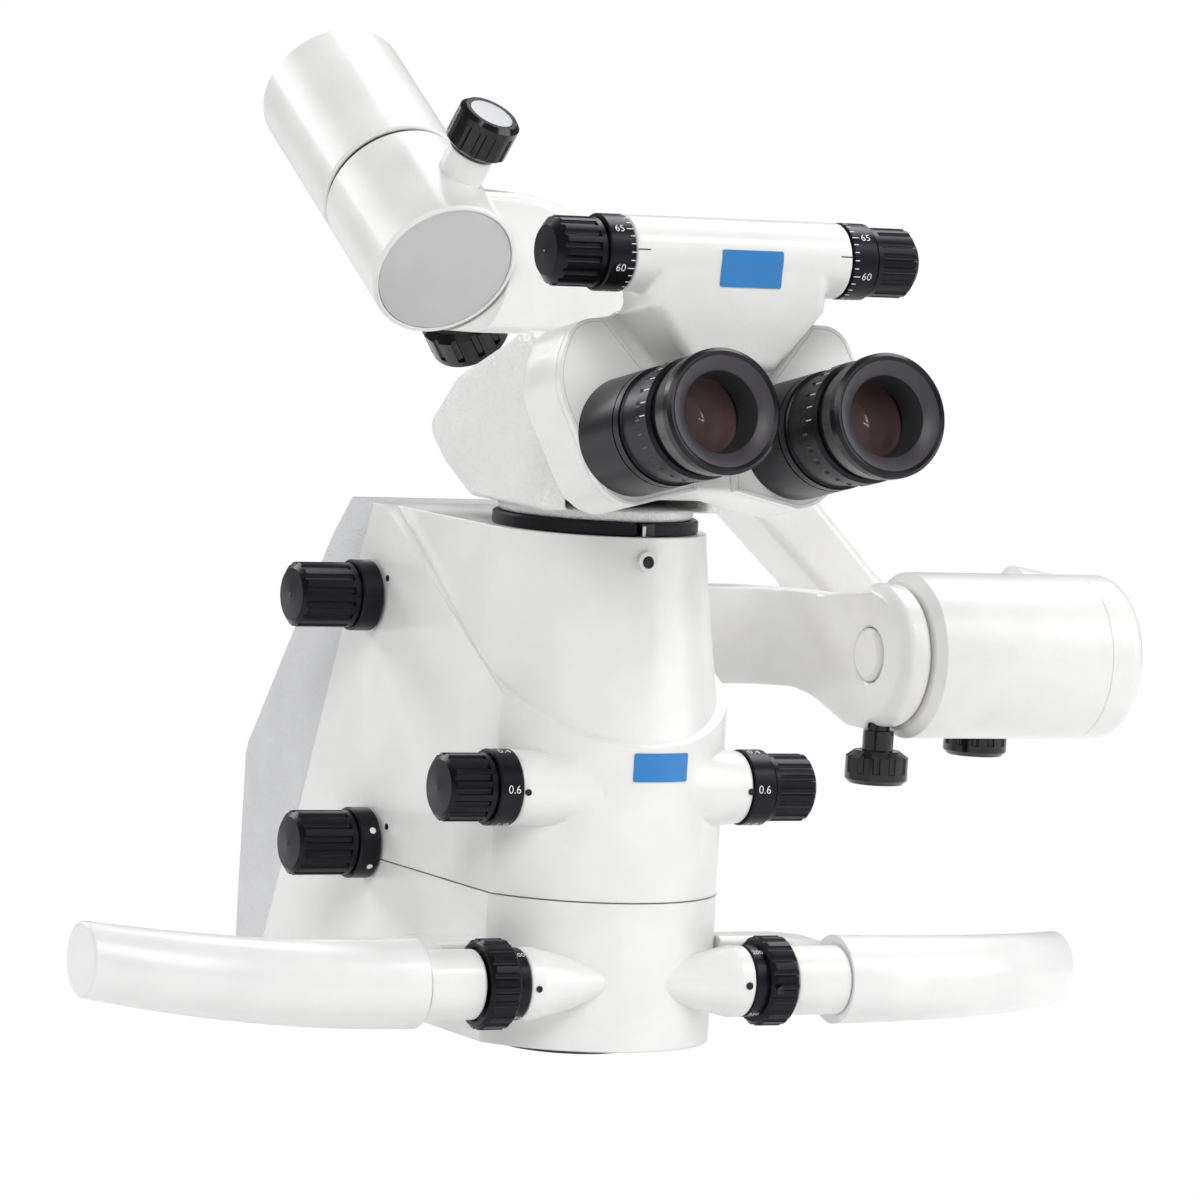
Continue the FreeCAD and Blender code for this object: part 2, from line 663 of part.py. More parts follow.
extras, holes = [], []
for side, sign, turn in SIDES:
    cone = new_body(f"mag_boss_{side}_body")
    revolve(cone, [(0, 16), (16.5, 16), (13.2, 36), (12.5, D.mag_x - 1), (12, D.mag_x - D.part_gap), (0, D.mag_x - D.part_gap)])
    place(cone, 0, D.mag_y, D.mag_z, turn)
    extras.append(cone)
screw_boss = rod("screw_boss", 3.6, 4, 0, -D.neck_r - 1.4, D.body_top - 8, Rotation(RIGHT, -90))
extras.append(screw_boss)
mag_inside = rod("mag_inside", 9.5, 2 * (D.mag_x - 4), -D.mag_x + 4, D.mag_y, D.mag_z, TO_RIGHT)
mag_bore = rod("mag_bore", D.shaft_r + D.run_fit, 120, -60, D.mag_y, D.mag_z, TO_RIGHT)
axle_room = rod("axle_room", 3.9 + D.run_fit, 85.4, -42.7, 0, D.mag_z, TO_RIGHT)
gear_room = rod("gear_room", 24, 60, -30, 0, D.mag_z, TO_RIGHT)
flank_bore = rod("flank_bore", D.shaft_r + D.run_fit, 60, -D.body_half - 20, D.flank_knob_y, D.flank_knob_z, TO_RIGHT)
lamp_bore = rod("lamp_bore", D.shaft_r + D.run_fit, 60, -D.body_half - 20, D.lamp_knob_y, D.lamp_knob_z, TO_RIGHT)
screw_bore = rod("screw_bore", 2, 40, 0, -D.neck_r - 20, D.body_top - 8, Rotation(RIGHT, -90))
front_whole = fuse("front_whole", [front] + extras)
front_holes = fuse("front_holes", [mag_inside, mag_bore, axle_room, gear_room, flank_bore, lamp_bore, screw_bore])
keep(cut("front_cut", front_whole, front_holes), "upper_housing")

# Lower housing with the long cones that carry the focus shaft.
lower = new_body("lower_body")
plan = outline(lower, "XY_Plane", [
    (-D.body_half - 0.3, 160), (-D.body_half - 0.3, nose_back, D.nose_r + 0.3), (D.body_half + 0.3, nose_back),
    (D.body_half + 0.3, 160),
], lift=D.body_bottom)
pad(lower, plan, D.seam_z - D.body_bottom, "shell")
behind = outline(lower, "YZ_Plane", [(131.9, 66), (220, 66), (220, 0), (159.9, 0)])
pocket(lower, behind, 200, "seam_plane", middle=True)
room = outline(lower, "XY_Plane", [
    (-D.body_half + D.wall, 128), (-D.body_half + D.wall, nose_back, D.nose_r - D.wall),
    (D.body_half - D.wall, nose_back), (D.body_half - D.wall, 128),
], "room_plan", D.body_bottom + D.wall)
pocket(lower, room, D.seam_z, "room", reverse=True)
eye = circle(lower, "XY_Plane", 27, 0, 0, 0, "objective_hole")
pocket(lower, eye, 20, "objective_seat", reverse=True)
extras = []
for side, sign, turn in SIDES:
    cone = new_body(f"focus_boss_{side}_body")
    revolve(cone, [(0, 4), (2.6, 4), (9, 24), (12.4, 38), (12.4, D.focus_x - 1), (12, D.focus_x - D.part_gap),
                   (0, D.focus_x - D.part_gap)])
    place(cone, 0, D.focus_y, D.focus_z, turn)
    extras.append(cone)
focus_bore = rod("focus_bore", D.shaft_r + D.run_fit, 120, -60, D.focus_y, D.focus_z, TO_RIGHT)
lower_whole = fuse("lower_whole", [lower] + extras)
keep(cut("lower_cut", lower_whole, focus_bore), "lower_housing")

# Grey rear cover, closed along the slanting seam.
rear = new_body("rear_body")
side_view = outline(rear, "YZ_Plane", [
    (84.4, D.body_top), (106, D.body_top), (119.5, 166), (180, 84), (181.6, 79), (181.6, D.body_bottom),
    (158.2, D.body_bottom),
])
pad(rear, side_view, 2 * D.body_half - 2, "cover", middle=True)
soften(rear, 3, lambda e: abs(abs(e.CenterOfMass.x) - D.body_half.value + 1) < 0.01 and e.CenterOfMass.y > 96
       and not (e.CenterOfMass.y < 130 and e.CenterOfMass.z < 150), "cover_round")
hollow = outline(rear, "YZ_Plane", [
    (80, D.body_top - D.wall), (104.4, D.body_top - D.wall), (116.8, 164.4), (176.8, 83), (178.4, 78.4),
    (178.4, D.body_bottom + D.wall), (150, D.body_bottom + D.wall),
], "hollow_plan")
pocket(rear, hollow, 2 * (D.body_half - 1 - D.wall), "hollow", middle=True)
keep(rear, "rear_cover")

# Objective: barrel, lens and the lens cell that the focus rings drive up and down.
barrel = new_body("barrel_body")
revolve(barrel, [
    (D.lens_r + 6.2, 0), (D.lens_r + 9, 0), (D.lens_r + 10, 1), (D.lens_r + 10, D.body_bottom - D.part_gap),
    (27, D.body_bottom - D.part_gap), (27, 14), (24, 14), (24, 30), (21, 30), (21, 8), (D.lens_r + 6.2, 8),
])
keep(barrel, "objective_barrel")
cell = new_body("cell_body")
revolve(cell, [
    (D.lens_r, 11), (21 - D.run_fit, 11), (21 - D.run_fit, 26), (D.lens_r + 2.4, 26), (D.lens_r + 2.4, 18),
    (D.lens_r - 1.4, 18), (D.lens_r - 1.4, 15.2), (D.lens_r, 15.2),
])
keep(cell, "lens_cell")
lens = new_body("lens_body")
revolve(lens, [(0, 11.4), (D.lens_r, 12.4), (D.lens_r, 15.2), (0, 15.4)])
keep(lens, "objective_lens")

# Magnification: shaft with its gear in front of the changer drum, a knob at each end.
mag_shaft = new_body("mag_shaft_body")
reach = D.mag_x + D.dial_w + 4
revolve(mag_shaft, [
    (0, -reach), (D.shaft_r, -reach), (D.shaft_r, -4), (9.6, -4), (9.6, 4), (D.shaft_r, 4), (D.shaft_r, reach), (0, reach),
])
tooth = circle(mag_shaft, "XY_Plane", 0.9, 9.9, 0, -4, "tooth_gap")
around(mag_shaft, pocket(mag_shaft, tooth, 8, "tooth_cut", reverse=True), 16)
place(mag_shaft, 0, D.mag_y, D.mag_z, TO_RIGHT)
keep(mag_shaft, "magnification_shaft")
drum = new_body("changer_body")
revolve(drum, [
    (3.9, -25), (20, -25), (20, -3.6), (21.6, -3.6), (21.6, 3.6), (20, 3.6), (20, 25), (3.9, 25),
], "drum")
for name, offset in (("eye_left", -11), ("eye_right", 11)):
    hole = circle(drum, "YZ_Plane", 6.4, 0, offset, 0, name)
    pocket(drum, hole, 60, name + "_cut", middle=True)
    cross = circle(drum, "XZ_Plane", 5.2, 0, offset, 0, name + "_low")
    pocket(drum, cross, 60, name + "_low_cut", middle=True)
place(drum, 0, 0, D.mag_z, TO_RIGHT)
keep(drum, "changer_drum")
axle = rod("axle", 3.9, 85, -42.5, 0, D.mag_z, TO_RIGHT)
keep(axle, "changer_axle")
for side, sign, turn in SIDES:
    knob = fluted_knob(f"mag_knob_{side}_body", D.shaft_r, D.dial_r, D.dial_w, D.knob_r, D.knob_w, 16, 1.5)
    place(knob, sign * D.mag_x, D.mag_y, D.mag_z, turn)
    keep(knob, f"magnification_knob_{side}")

# Focus: one shaft, a dial and a knurled ring at each end.
focus_shaft = new_body("focus_shaft_body")
reach = D.focus_x + 13.5
revolve(focus_shaft, [(0, -reach), (D.shaft_r, -reach), (D.shaft_r, reach), (0, reach)])
place(focus_shaft, 0, D.focus_y, D.focus_z, TO_RIGHT)
keep(focus_shaft, "focus_shaft")
for side, sign, turn in SIDES:
    ring = new_body(f"focus_ring_{side}_body")
    revolve(ring, [
        (D.shaft_r, 0), (12, 0), (12.4, 0.4), (12.4, 4.6), (D.focus_r - 1.6, 4.6), (D.focus_r, 6), (D.focus_r, 14.4),
        (D.focus_r - 1.6, 15.8), (12.6, 15.8), (12.6, 14), (D.shaft_r, 14),
    ])
    mark = circle(ring, "XY_Plane", 1.4, D.focus_r + 0.5, 0, 4, "flute")
    around(ring, pocket(ring, mark, 13, "flute_cut", reverse=True), 20)
    place(ring, sign * D.focus_x, D.focus_y, D.focus_z, turn)
    keep(ring, f"focus_ring_{side}")

# Handles: a bracket with a coaxial collar, and a swept grip that turns in it.
start = D.focus_x + 16.3
for side, sign, turn in SIDES:
    bar = new_body(f"yoke_{side}_body")
    plan = outline(bar, "XY_Plane", [
        (sign * (D.body_half + 0.3), -27.5), (sign * 66, -27.5), (sign * 68, -36), (sign * (start + D.collar_w - 1), -36),
        (sign * (start + D.collar_w - 1), -22), (sign * 72, -13), (sign * (D.body_half + 0.3), -13),
    ], lift=16)
    pad(bar, plan, 25, "bar")
    soften(bar, 2.5, lambda e: e.BoundBox.ZLength < 1e-6 and abs(e.CenterOfMass.x) > 46 and e.CenterOfMass.y > -35)
    collar = new_body(f"collar_{side}_body")
    revolve(collar, [(6 + D.run_fit, 0), (D.collar_r - 0.8, 0), (D.collar_r, 0.8), (D.collar_r, D.collar_w), (6 + D.run_fit, D.collar_w)])
    place(collar, sign * start, D.focus_y, D.focus_z, turn)
    bore = rod(f"yoke_bore_{side}", 6 + D.run_fit, 120, sign * 58, D.focus_y, D.focus_z, turn)
    keep(cut(f"yoke_cut_{side}", fuse(f"yoke_whole_{side}", [bar, collar]), bore), f"handle_bracket_{side}")
    grip = new_body(f"grip_{side}_body")
    inner = start + D.collar_w + 0.6
    first = circle(grip, "YZ_Plane", D.grip_r, 2.6, 0, sign * inner, "inner_end")
    middle = circle(grip, "YZ_Plane", (D.grip_r + D.grip_end_r) / 2 + 0.3, 8, 0.2, sign * (inner + D.grip_run / 2), "middle")
    last = circle(grip, "YZ_Plane", D.grip_end_r, D.grip_sweep + 2.6, D.grip_rise, sign * (inner + D.grip_run), "outer_end")
    loft = grip.newObject("PartDesign::AdditiveLoft", "grip")
    loft.Profile = first if sign < 0 else last
    loft.Sections = [middle, last if sign < 0 else first]
    doc.recompute()
    soften(grip, 1.6, lambda e: e.BoundBox.XLength < 1e-6 and abs(abs(e.CenterOfMass.x) - inner.value
           - D.grip_run.value) < 1, "grip_round")
    place(grip, 0, D.focus_y, D.focus_z, Rotation(RIGHT, -sign * 6.0))
    stem = rod(f"grip_stem_{side}", 6, D.collar_w + 8, sign * (inner + 8.4), D.focus_y, D.focus_z, TO_LEFT if sign > 0 else TO_RIGHT)
    keep(fuse(f"grip_whole_{side}", [grip, stem]), f"grip_{side}")

# Filter knob and brightness knob on the left flank.
for name, y, z in (("filter", D.flank_knob_y, D.flank_knob_z), ("brightness", D.lamp_knob_y, D.lamp_knob_z)):
    knob = fluted_knob(f"{name}_knob_body", D.shaft_r, D.dial_r - 0.6, D.dial_w - 0.8, D.knob_r - 0.3, D.knob_w + 5, 14, 1.5)
    place(knob, -D.body_half - 1.2, y, z, TO_LEFT)
    keep(knob, f"{name}_knob")
    pin = rod(f"{name}_pin", D.shaft_r, 34, -D.body_half - 12, y, z, TO_RIGHT)
    keep(pin, f"{name}_shaft")
wheel = new_body("wheel_body")
revolve(wheel, [(D.shaft_r, 0), (22, 0), (22, 2), (D.shaft_r, 2)], "wheel")
window = circle(wheel, "XY_Plane", 4.6, 14, 0, -1, "window")
around(wheel, pocket(wheel, window, 4, "window_cut", reverse=True), 5)
place(wheel, -D.body_half + 14, D.flank_knob_y, D.flank_knob_z, TO_RIGHT)
keep(wheel, "filter_wheel")

# Lamp module and its cooler behind the optics, carried by the rear cover.
lamp = block("lamp_box", 36, 32, 30, -18, 146, D.body_bottom + D.wall + 34)
keep(lamp, "lamp_module")
cooler = new_body("cooler_body")
pad(cooler, outline(cooler, "XY_Plane", [(-18, 0), (18, 0), (18, 18), (-18, 18)]), 34, "cooler")
slot = outline(cooler, "XY_Plane", [(-15.4, 3), (-12.6, 3), (-12.6, 20), (-15.4, 20)], "slot", -1)
slot_cut = pocket(cooler, slot, 40, "slot_cut", reverse=True)
rows = cooler.newObject("PartDesign::LinearPattern", "slots")
rows.Originals = [slot_cut]
rows.Direction = ([f for f in cooler.Origin.OriginFeatures if f.Role == "X_Axis"][0], [""])
rows.Length = 28
rows.Occurrences = 6
cooler.Tip = rows
place(cooler, 0, 160, D.body_bottom + D.wall)
keep(cooler, "lamp_cooler")

# Binocular: turning ring on the head, base with its fork, and the tilting head between the cheeks.
ring = new_body("ring_body")
z0 = D.body_top
revolve(ring, [
    (D.path_r, z0 - 9), (26, z0 - 9), (26, z0), (D.ring_r - 0.6, z0), (D.ring_r, z0 + 0.6),
    (D.ring_r, z0 + D.ring_t - 0.6), (D.ring_r - 0.6, z0 + D.ring_t), (D.path_r, z0 + D.ring_t),
], "ring")
notch = outline(ring, "XY_Plane", [(-2.6, -D.ring_r - 2), (2.6, -D.ring_r - 2), (2.6, -D.ring_r + 2.4), (-2.6, -D.ring_r + 2.4)], "notch", z0 - 1)
pocket(ring, notch, D.ring_t + 2, "notch_cut", reverse=True)
keep(ring, "turning_ring")
holder = new_body("holder_body")
revolve(holder, [(26, z0 - 8.6), (30, z0 - 8.6), (30, z0 - 4.8), (26, z0 - 4.8)])
keep(holder, "ring_holder")

base = new_body("base_body")
cheek = outline(base, "YZ_Plane", [
    (-30, z0 + 8), (24, z0 + 8), (46, 197), (58, 206, 6), (59, 212), (40, 229), (0, 245, 14), (-22, 238), (-33, 208),
])
pad(base, cheek, 2 * D.base_half, "cheeks", middle=True)
soften(base, 2, lambda e: e.BoundBox.XLength < 1e-6, "cheek_round")
foot = outline(base, "XZ_Plane", [(0, z0 + D.ring_t), (33.6, z0 + D.ring_t), (33.6, z0 + 10), (0, z0 + 14)], "foot_plan")
foot_turn = base.newObject("PartDesign::Revolution", "foot")
foot_turn.Profile = foot
foot_turn.ReferenceAxis = (foot, ["V_Axis"])
foot_turn.Angle = 360
fork = outline(base, "YZ_Plane", [(-90, 188.6), (0, 188.6, 25.41), (0, D.hinge_z + 25.4), (0, 320), (-90, 320)], "fork_room")
pocket(base, fork, 2 * D.fork_half, "fork", middle=True)
well = circle(base, "XY_Plane", D.path_r, 0, 0, z0)
pocket(base, well, 40, "well", reverse=True)
pin_room = circle(base, "YZ_Plane", 5 + D.run_fit, 0, D.hinge_z)
pocket(base, pin_room, 100, "pin_room", middle=True)
keep(base, "binocular_base")
for side, sign, turn in SIDES:
    pin = new_body(f"hinge_{side}_body")
    revolve(pin, [(0, D.fork_half - 9), (5, D.fork_half - 9), (5, D.base_half - 0.6), (0, D.base_half - 0.6)])
    place(pin, 0, 0, D.hinge_z, turn)
    keep(pin, f"hinge_pin_{side}")

# Tilting head: barrel round the hinge, neck, rounded front plate and the block of the eye distance shaft.
axis_fore, axis_high = -78.9, 13.9
tilt = new_body("tilt_body")
pad(tilt, circle(tilt, "YZ_Plane", 24), 2 * D.fork_half - 2 * D.part_gap, "barrel", middle=True)
place(tilt, 0, 0, D.hinge_z)
throat = block("throat", 2 * D.fork_half - 2 * D.part_gap, 41.6, 56, 0, 0, 0)
look_place(throat, -D.fork_half + D.part_gap, -11.6, -60)
mask = new_body("mask_body")
mask_plan = outline(mask, "XY_Plane", [
    (-30.5, -23), (-8, -17.6), (8, -17.6), (30.5, -23, 17), (46.5, -12.6), (55.4, 9.4, 26), (54.2, 31.5, 11),
    (45, 39.4), (30, 42.4), (-30, 42.4), (-45, 39.4, 11), (-54.2, 31.5, 26), (-55.4, 9.4), (-46.5, -12.6, 17),
], "mask_plan", -26)
pad(mask, mask_plan, 24, "mask")
look_place(mask)
panel = new_body("panel_body")
panel_plan = outline(panel, "XY_Plane", [
    (-33, D.pd_high), (-33, 41), (-15.5, 21), (15.5, 21), (33, 41), (33, D.pd_high),
], "panel_plan", -6)
pad(panel, panel_plan, D.pd_fore + 6 + D.pd_block_r, "panel")
lean = outline(panel, "YZ_Plane", [(10, 15.6), (D.pd_high - 1, D.pd_fore + D.pd_block_r - 0.1), (90, 29.4), (90, 60), (10, 60)], "lean_plan")
pocket(panel, lean, 100, "lean", middle=True)
behind = outline(panel, "YZ_Plane", [(42.8, -20), (90, -20), (90, 2), (44.8, 2), (42.8, 0)], "behind_plan")
pocket(panel, behind, 100, "behind", middle=True)
soften(panel, 4, lambda e: e.CenterOfMass.z > 15 and e.BoundBox.ZLength < 12 and e.CenterOfMass.y < 58, "panel_round")
look_place(panel)
bar = new_body("pd_bar_body")
pad(bar, circle(bar, "YZ_Plane", D.pd_block_r), 2 * D.pd_block_half, "bar", middle=True)
look_place(bar, 0, D.pd_high, D.pd_fore)
tilt_whole = fuse("tilt_whole", [tilt, throat, mask, panel, bar])
rooms = []
pd_room = rod("pd_room", 4 + D.run_fit, 200, 0, 0, 0)
look_place(pd_room, -100, D.pd_high, D.pd_fore, TO_RIGHT)
rooms.append(pd_room)
pin_bore = rod("pin_bore", 5, 100, -50, 0, D.hinge_z, TO_RIGHT)
rooms.append(pin_bore)
light = rod("light", 14, 60, 0, 0, D.hinge_z - 40)
rooms.append(light)
for side, sign, turn in SIDES:
    barrel_room = rod(f"barrel_room_{side}", D.spigot_r - 1, 30, 0, 0, 0)
    look_place(barrel_room, sign * D.eye_half * 0.72, 0, -27)
    rooms.append(barrel_room)
    for name, x in (("near", D.eye_half - D.slide_reach), ("far", D.eye_half + D.slide_reach)):
        end_room = rod(f"slide_{name}_{side}", D.spigot_r + 0.3, 9, 0, 0, 0)
        look_place(end_room, sign * x, 0, -9)
        rooms.append(end_room)
    slide_room = block(f"slide_room_{side}", 2 * D.slide_reach, 2 * D.spigot_r + 0.6, 9)
    look_place(slide_room, sign * D.eye_half - D.slide_reach, -D.spigot_r - 0.3, -9)
    rooms.append(slide_room)
keep(cut("tilt_cut", tilt_whole, fuse("tilt_rooms", rooms)), "binocular_head")

pd_shaft = new_body("pd_shaft_body")
reach = D.pd_block_half + D.dial_w + 4
revolve(pd_shaft, [(0, -reach), (3, -reach), (3, -D.pd_block_half), (4, -D.pd_block_half), (4, D.pd_block_half), (3, D.pd_block_half), (3, reach), (0, reach)])
look_place(pd_shaft, 0, D.pd_high, D.pd_fore, TO_RIGHT)
keep(pd_shaft, "eye_distance_shaft")
for side, sign, turn in SIDES:
    knob = fluted_knob(f"pd_knob_{side}_body", 3, D.dial_r - 0.2, D.dial_w + 0.8, D.knob_r, D.knob_w + 0.6, 16, 1.5, 3.4)
    look_place(knob, sign * (D.pd_block_half + D.part_gap), D.pd_high, D.pd_fore, turn)
    keep(knob, f"eye_distance_knob_{side}")

CARRIER_RIGHT = [
    (7.4, -17.6), (8, -17.6), (30.5, -23, 17), (46.5, -12.6), (55.4, 9.4, 26), (54.2, 31.5, 11), (45, 39.4),
    (39.8, 39.7), (22.9, 20.2), (7.4, 20.2),
]


def mirrored(points):
    """Mirror a closed outline left to right and keep its sense of travel."""
    count = len(points)
    turned = []
    for j in range(count):
        point, before = points[count - 1 - j], points[(count - 2 - j) % count]
        turned.append((-point[0], point[1]) + ((before[2],) if len(before) > 2 else ()))
    return turned


# Eyepieces: sliding carrier, tube, dioptre ring, rubber cup and eye lens on each side.
for side, sign, turn in SIDES:
    carrier = new_body(f"carrier_{side}_body")
    plan = outline(carrier, "XY_Plane", CARRIER_RIGHT if sign > 0 else mirrored(CARRIER_RIGHT), "plate_plan", -1.7)
    pad(carrier, plan, 3.2, "plate")
    look_place(carrier)
    spigot = rod(f"spigot_{side}", D.spigot_r, 6.2, 0, 0, 0)
    look_place(spigot, sign * D.eye_half, 0, -7.4)
    sight = rod(f"sight_{side}", D.spigot_r - 1.5, 16, 0, 0, 0)
    look_place(sight, sign * D.eye_half, 0, -10)
    keep(cut(f"carrier_cut_{side}", fuse(f"carrier_whole_{side}", [carrier, spigot]), sight), f"eye_carrier_{side}")
    tube = new_body(f"tube_{side}_body")
    revolve(tube, [
        (14.6, 1.5), (D.tube_r, 1.5), (D.tube_r, 25.2), (D.tube_r - 0.5, 25.2), (D.tube_r - 0.5, 26), (D.tube_r, 26),
        (D.tube_r, 29.4), (D.tube_r - 0.5, 29.4), (D.tube_r - 0.5, 30.2), (D.tube_r - 1, 30.6), (D.tube_r - 1, 40.4),
        (15.4, 40.4), (15.4, 54.2), (14.6, 54.2),
    ])
    look_place(tube, sign * D.eye_half)
    keep(tube, f"eyepiece_tube_{side}")
    ring = new_body(f"dioptre_{side}_body")
    revolve(ring, [
        (15.4 + D.run_fit, 40.8), (D.cup_r - 1.4, 40.8), (D.cup_r - 0.4, 42), (D.cup_r - 0.4, 49.4), (D.cup_r - 1.6, 50.6),
        (15.4 + D.run_fit, 50.6),
    ])
    mark = circle(ring, "XY_Plane", 1.1, D.cup_r, 0, 40, "knurl")
    around(ring, pocket(ring, mark, 5, "knurl_cut", reverse=True), 28)
    look_place(ring, sign * D.eye_half)
    keep(ring, f"dioptre_ring_{side}")
    cup = new_body(f"cup_{side}_body")
    revolve(cup, [
        (15.4 + D.run_fit, 50.9), (D.cup_r - 2.2, 50.9), (D.cup_r - 1, 55), (D.cup_r, 62), (D.cup_r, D.cup_end - 1),
        (D.cup_r - 1.2, D.cup_end), (D.cup_r - 2.6, D.cup_end - 0.6), (D.cup_r - 5, 56.4), (15.4 + D.run_fit, 55),
    ])
    look_place(cup, sign * D.eye_half)
    keep(cup, f"eyecup_{side}")
    glass = new_body(f"eye_lens_{side}_body")
    revolve(glass, [(0, 44), (14.6, 44), (14.6, 47), (0, 49.4, 48)][:3] + [(0, 49)])
    look_place(glass, sign * D.eye_half)
    keep(glass, f"eye_lens_{side}")

doc.recompute()
for obj in doc.Objects:
    if "Invalid" in obj.State or "Error" in obj.State:
        raise ValueError(f"{obj.Name} does not rebuild")
for piece in pieces:
    shape = piece.Shape
    if shape.isNull() or not shape.isValid() or not shape.Solids:
        raise ValueError(f"{piece.Label} has no sound shape")
    shape.exportStep(f"parts/{piece.Label}.step")
    print(piece.Label, round(shape.Volume), len(shape.Solids))
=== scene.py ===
# Looks of a surgical microscope head on its pendulum arm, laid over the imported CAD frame.
# Finishes first, then the studio, the helpers, one class for each group of pieces, and main().

import json
import logging
import math
from collections.abc import Callable
from dataclasses import dataclass
from enum import Enum

import bpy
from mathutils import Matrix, Vector

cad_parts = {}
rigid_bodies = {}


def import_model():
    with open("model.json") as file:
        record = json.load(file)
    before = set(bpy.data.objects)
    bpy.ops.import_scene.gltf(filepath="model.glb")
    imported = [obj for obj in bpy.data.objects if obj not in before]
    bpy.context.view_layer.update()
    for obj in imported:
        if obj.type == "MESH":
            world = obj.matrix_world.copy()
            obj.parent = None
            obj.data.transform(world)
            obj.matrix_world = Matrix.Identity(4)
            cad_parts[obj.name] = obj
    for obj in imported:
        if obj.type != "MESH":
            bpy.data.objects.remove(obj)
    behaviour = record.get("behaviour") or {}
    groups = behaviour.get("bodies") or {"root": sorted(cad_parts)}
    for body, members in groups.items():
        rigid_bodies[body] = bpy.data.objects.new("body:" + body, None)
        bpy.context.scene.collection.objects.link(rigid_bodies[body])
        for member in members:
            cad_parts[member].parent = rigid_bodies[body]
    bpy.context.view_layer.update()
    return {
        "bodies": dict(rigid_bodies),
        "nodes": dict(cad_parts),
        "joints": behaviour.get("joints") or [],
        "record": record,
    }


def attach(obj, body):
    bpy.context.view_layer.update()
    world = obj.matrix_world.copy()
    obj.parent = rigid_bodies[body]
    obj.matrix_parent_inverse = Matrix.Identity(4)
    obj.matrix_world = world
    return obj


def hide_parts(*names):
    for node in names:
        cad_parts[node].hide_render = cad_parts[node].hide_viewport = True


log = logging.getLogger("microscope")
logging.basicConfig(level=logging.INFO, format="%(name)s: %(message)s")

MM = 0.001  # metres in a millimetre
SUNK = 0.05  # how far flat marks reach into the surface under them, in millimetres
PROUD = 0.08  # how far they stand out of it, in millimetres
SMOOTH_ANGLE = 35.0  # edges flatter than this shade smooth, in degrees


class Relief(Enum):
    """Kind of surface relief that a finish carries."""

    SMOOTH = "smooth"
    PEEL = "peel"
    GRAIN = "grain"
    LEATHER = "leather"


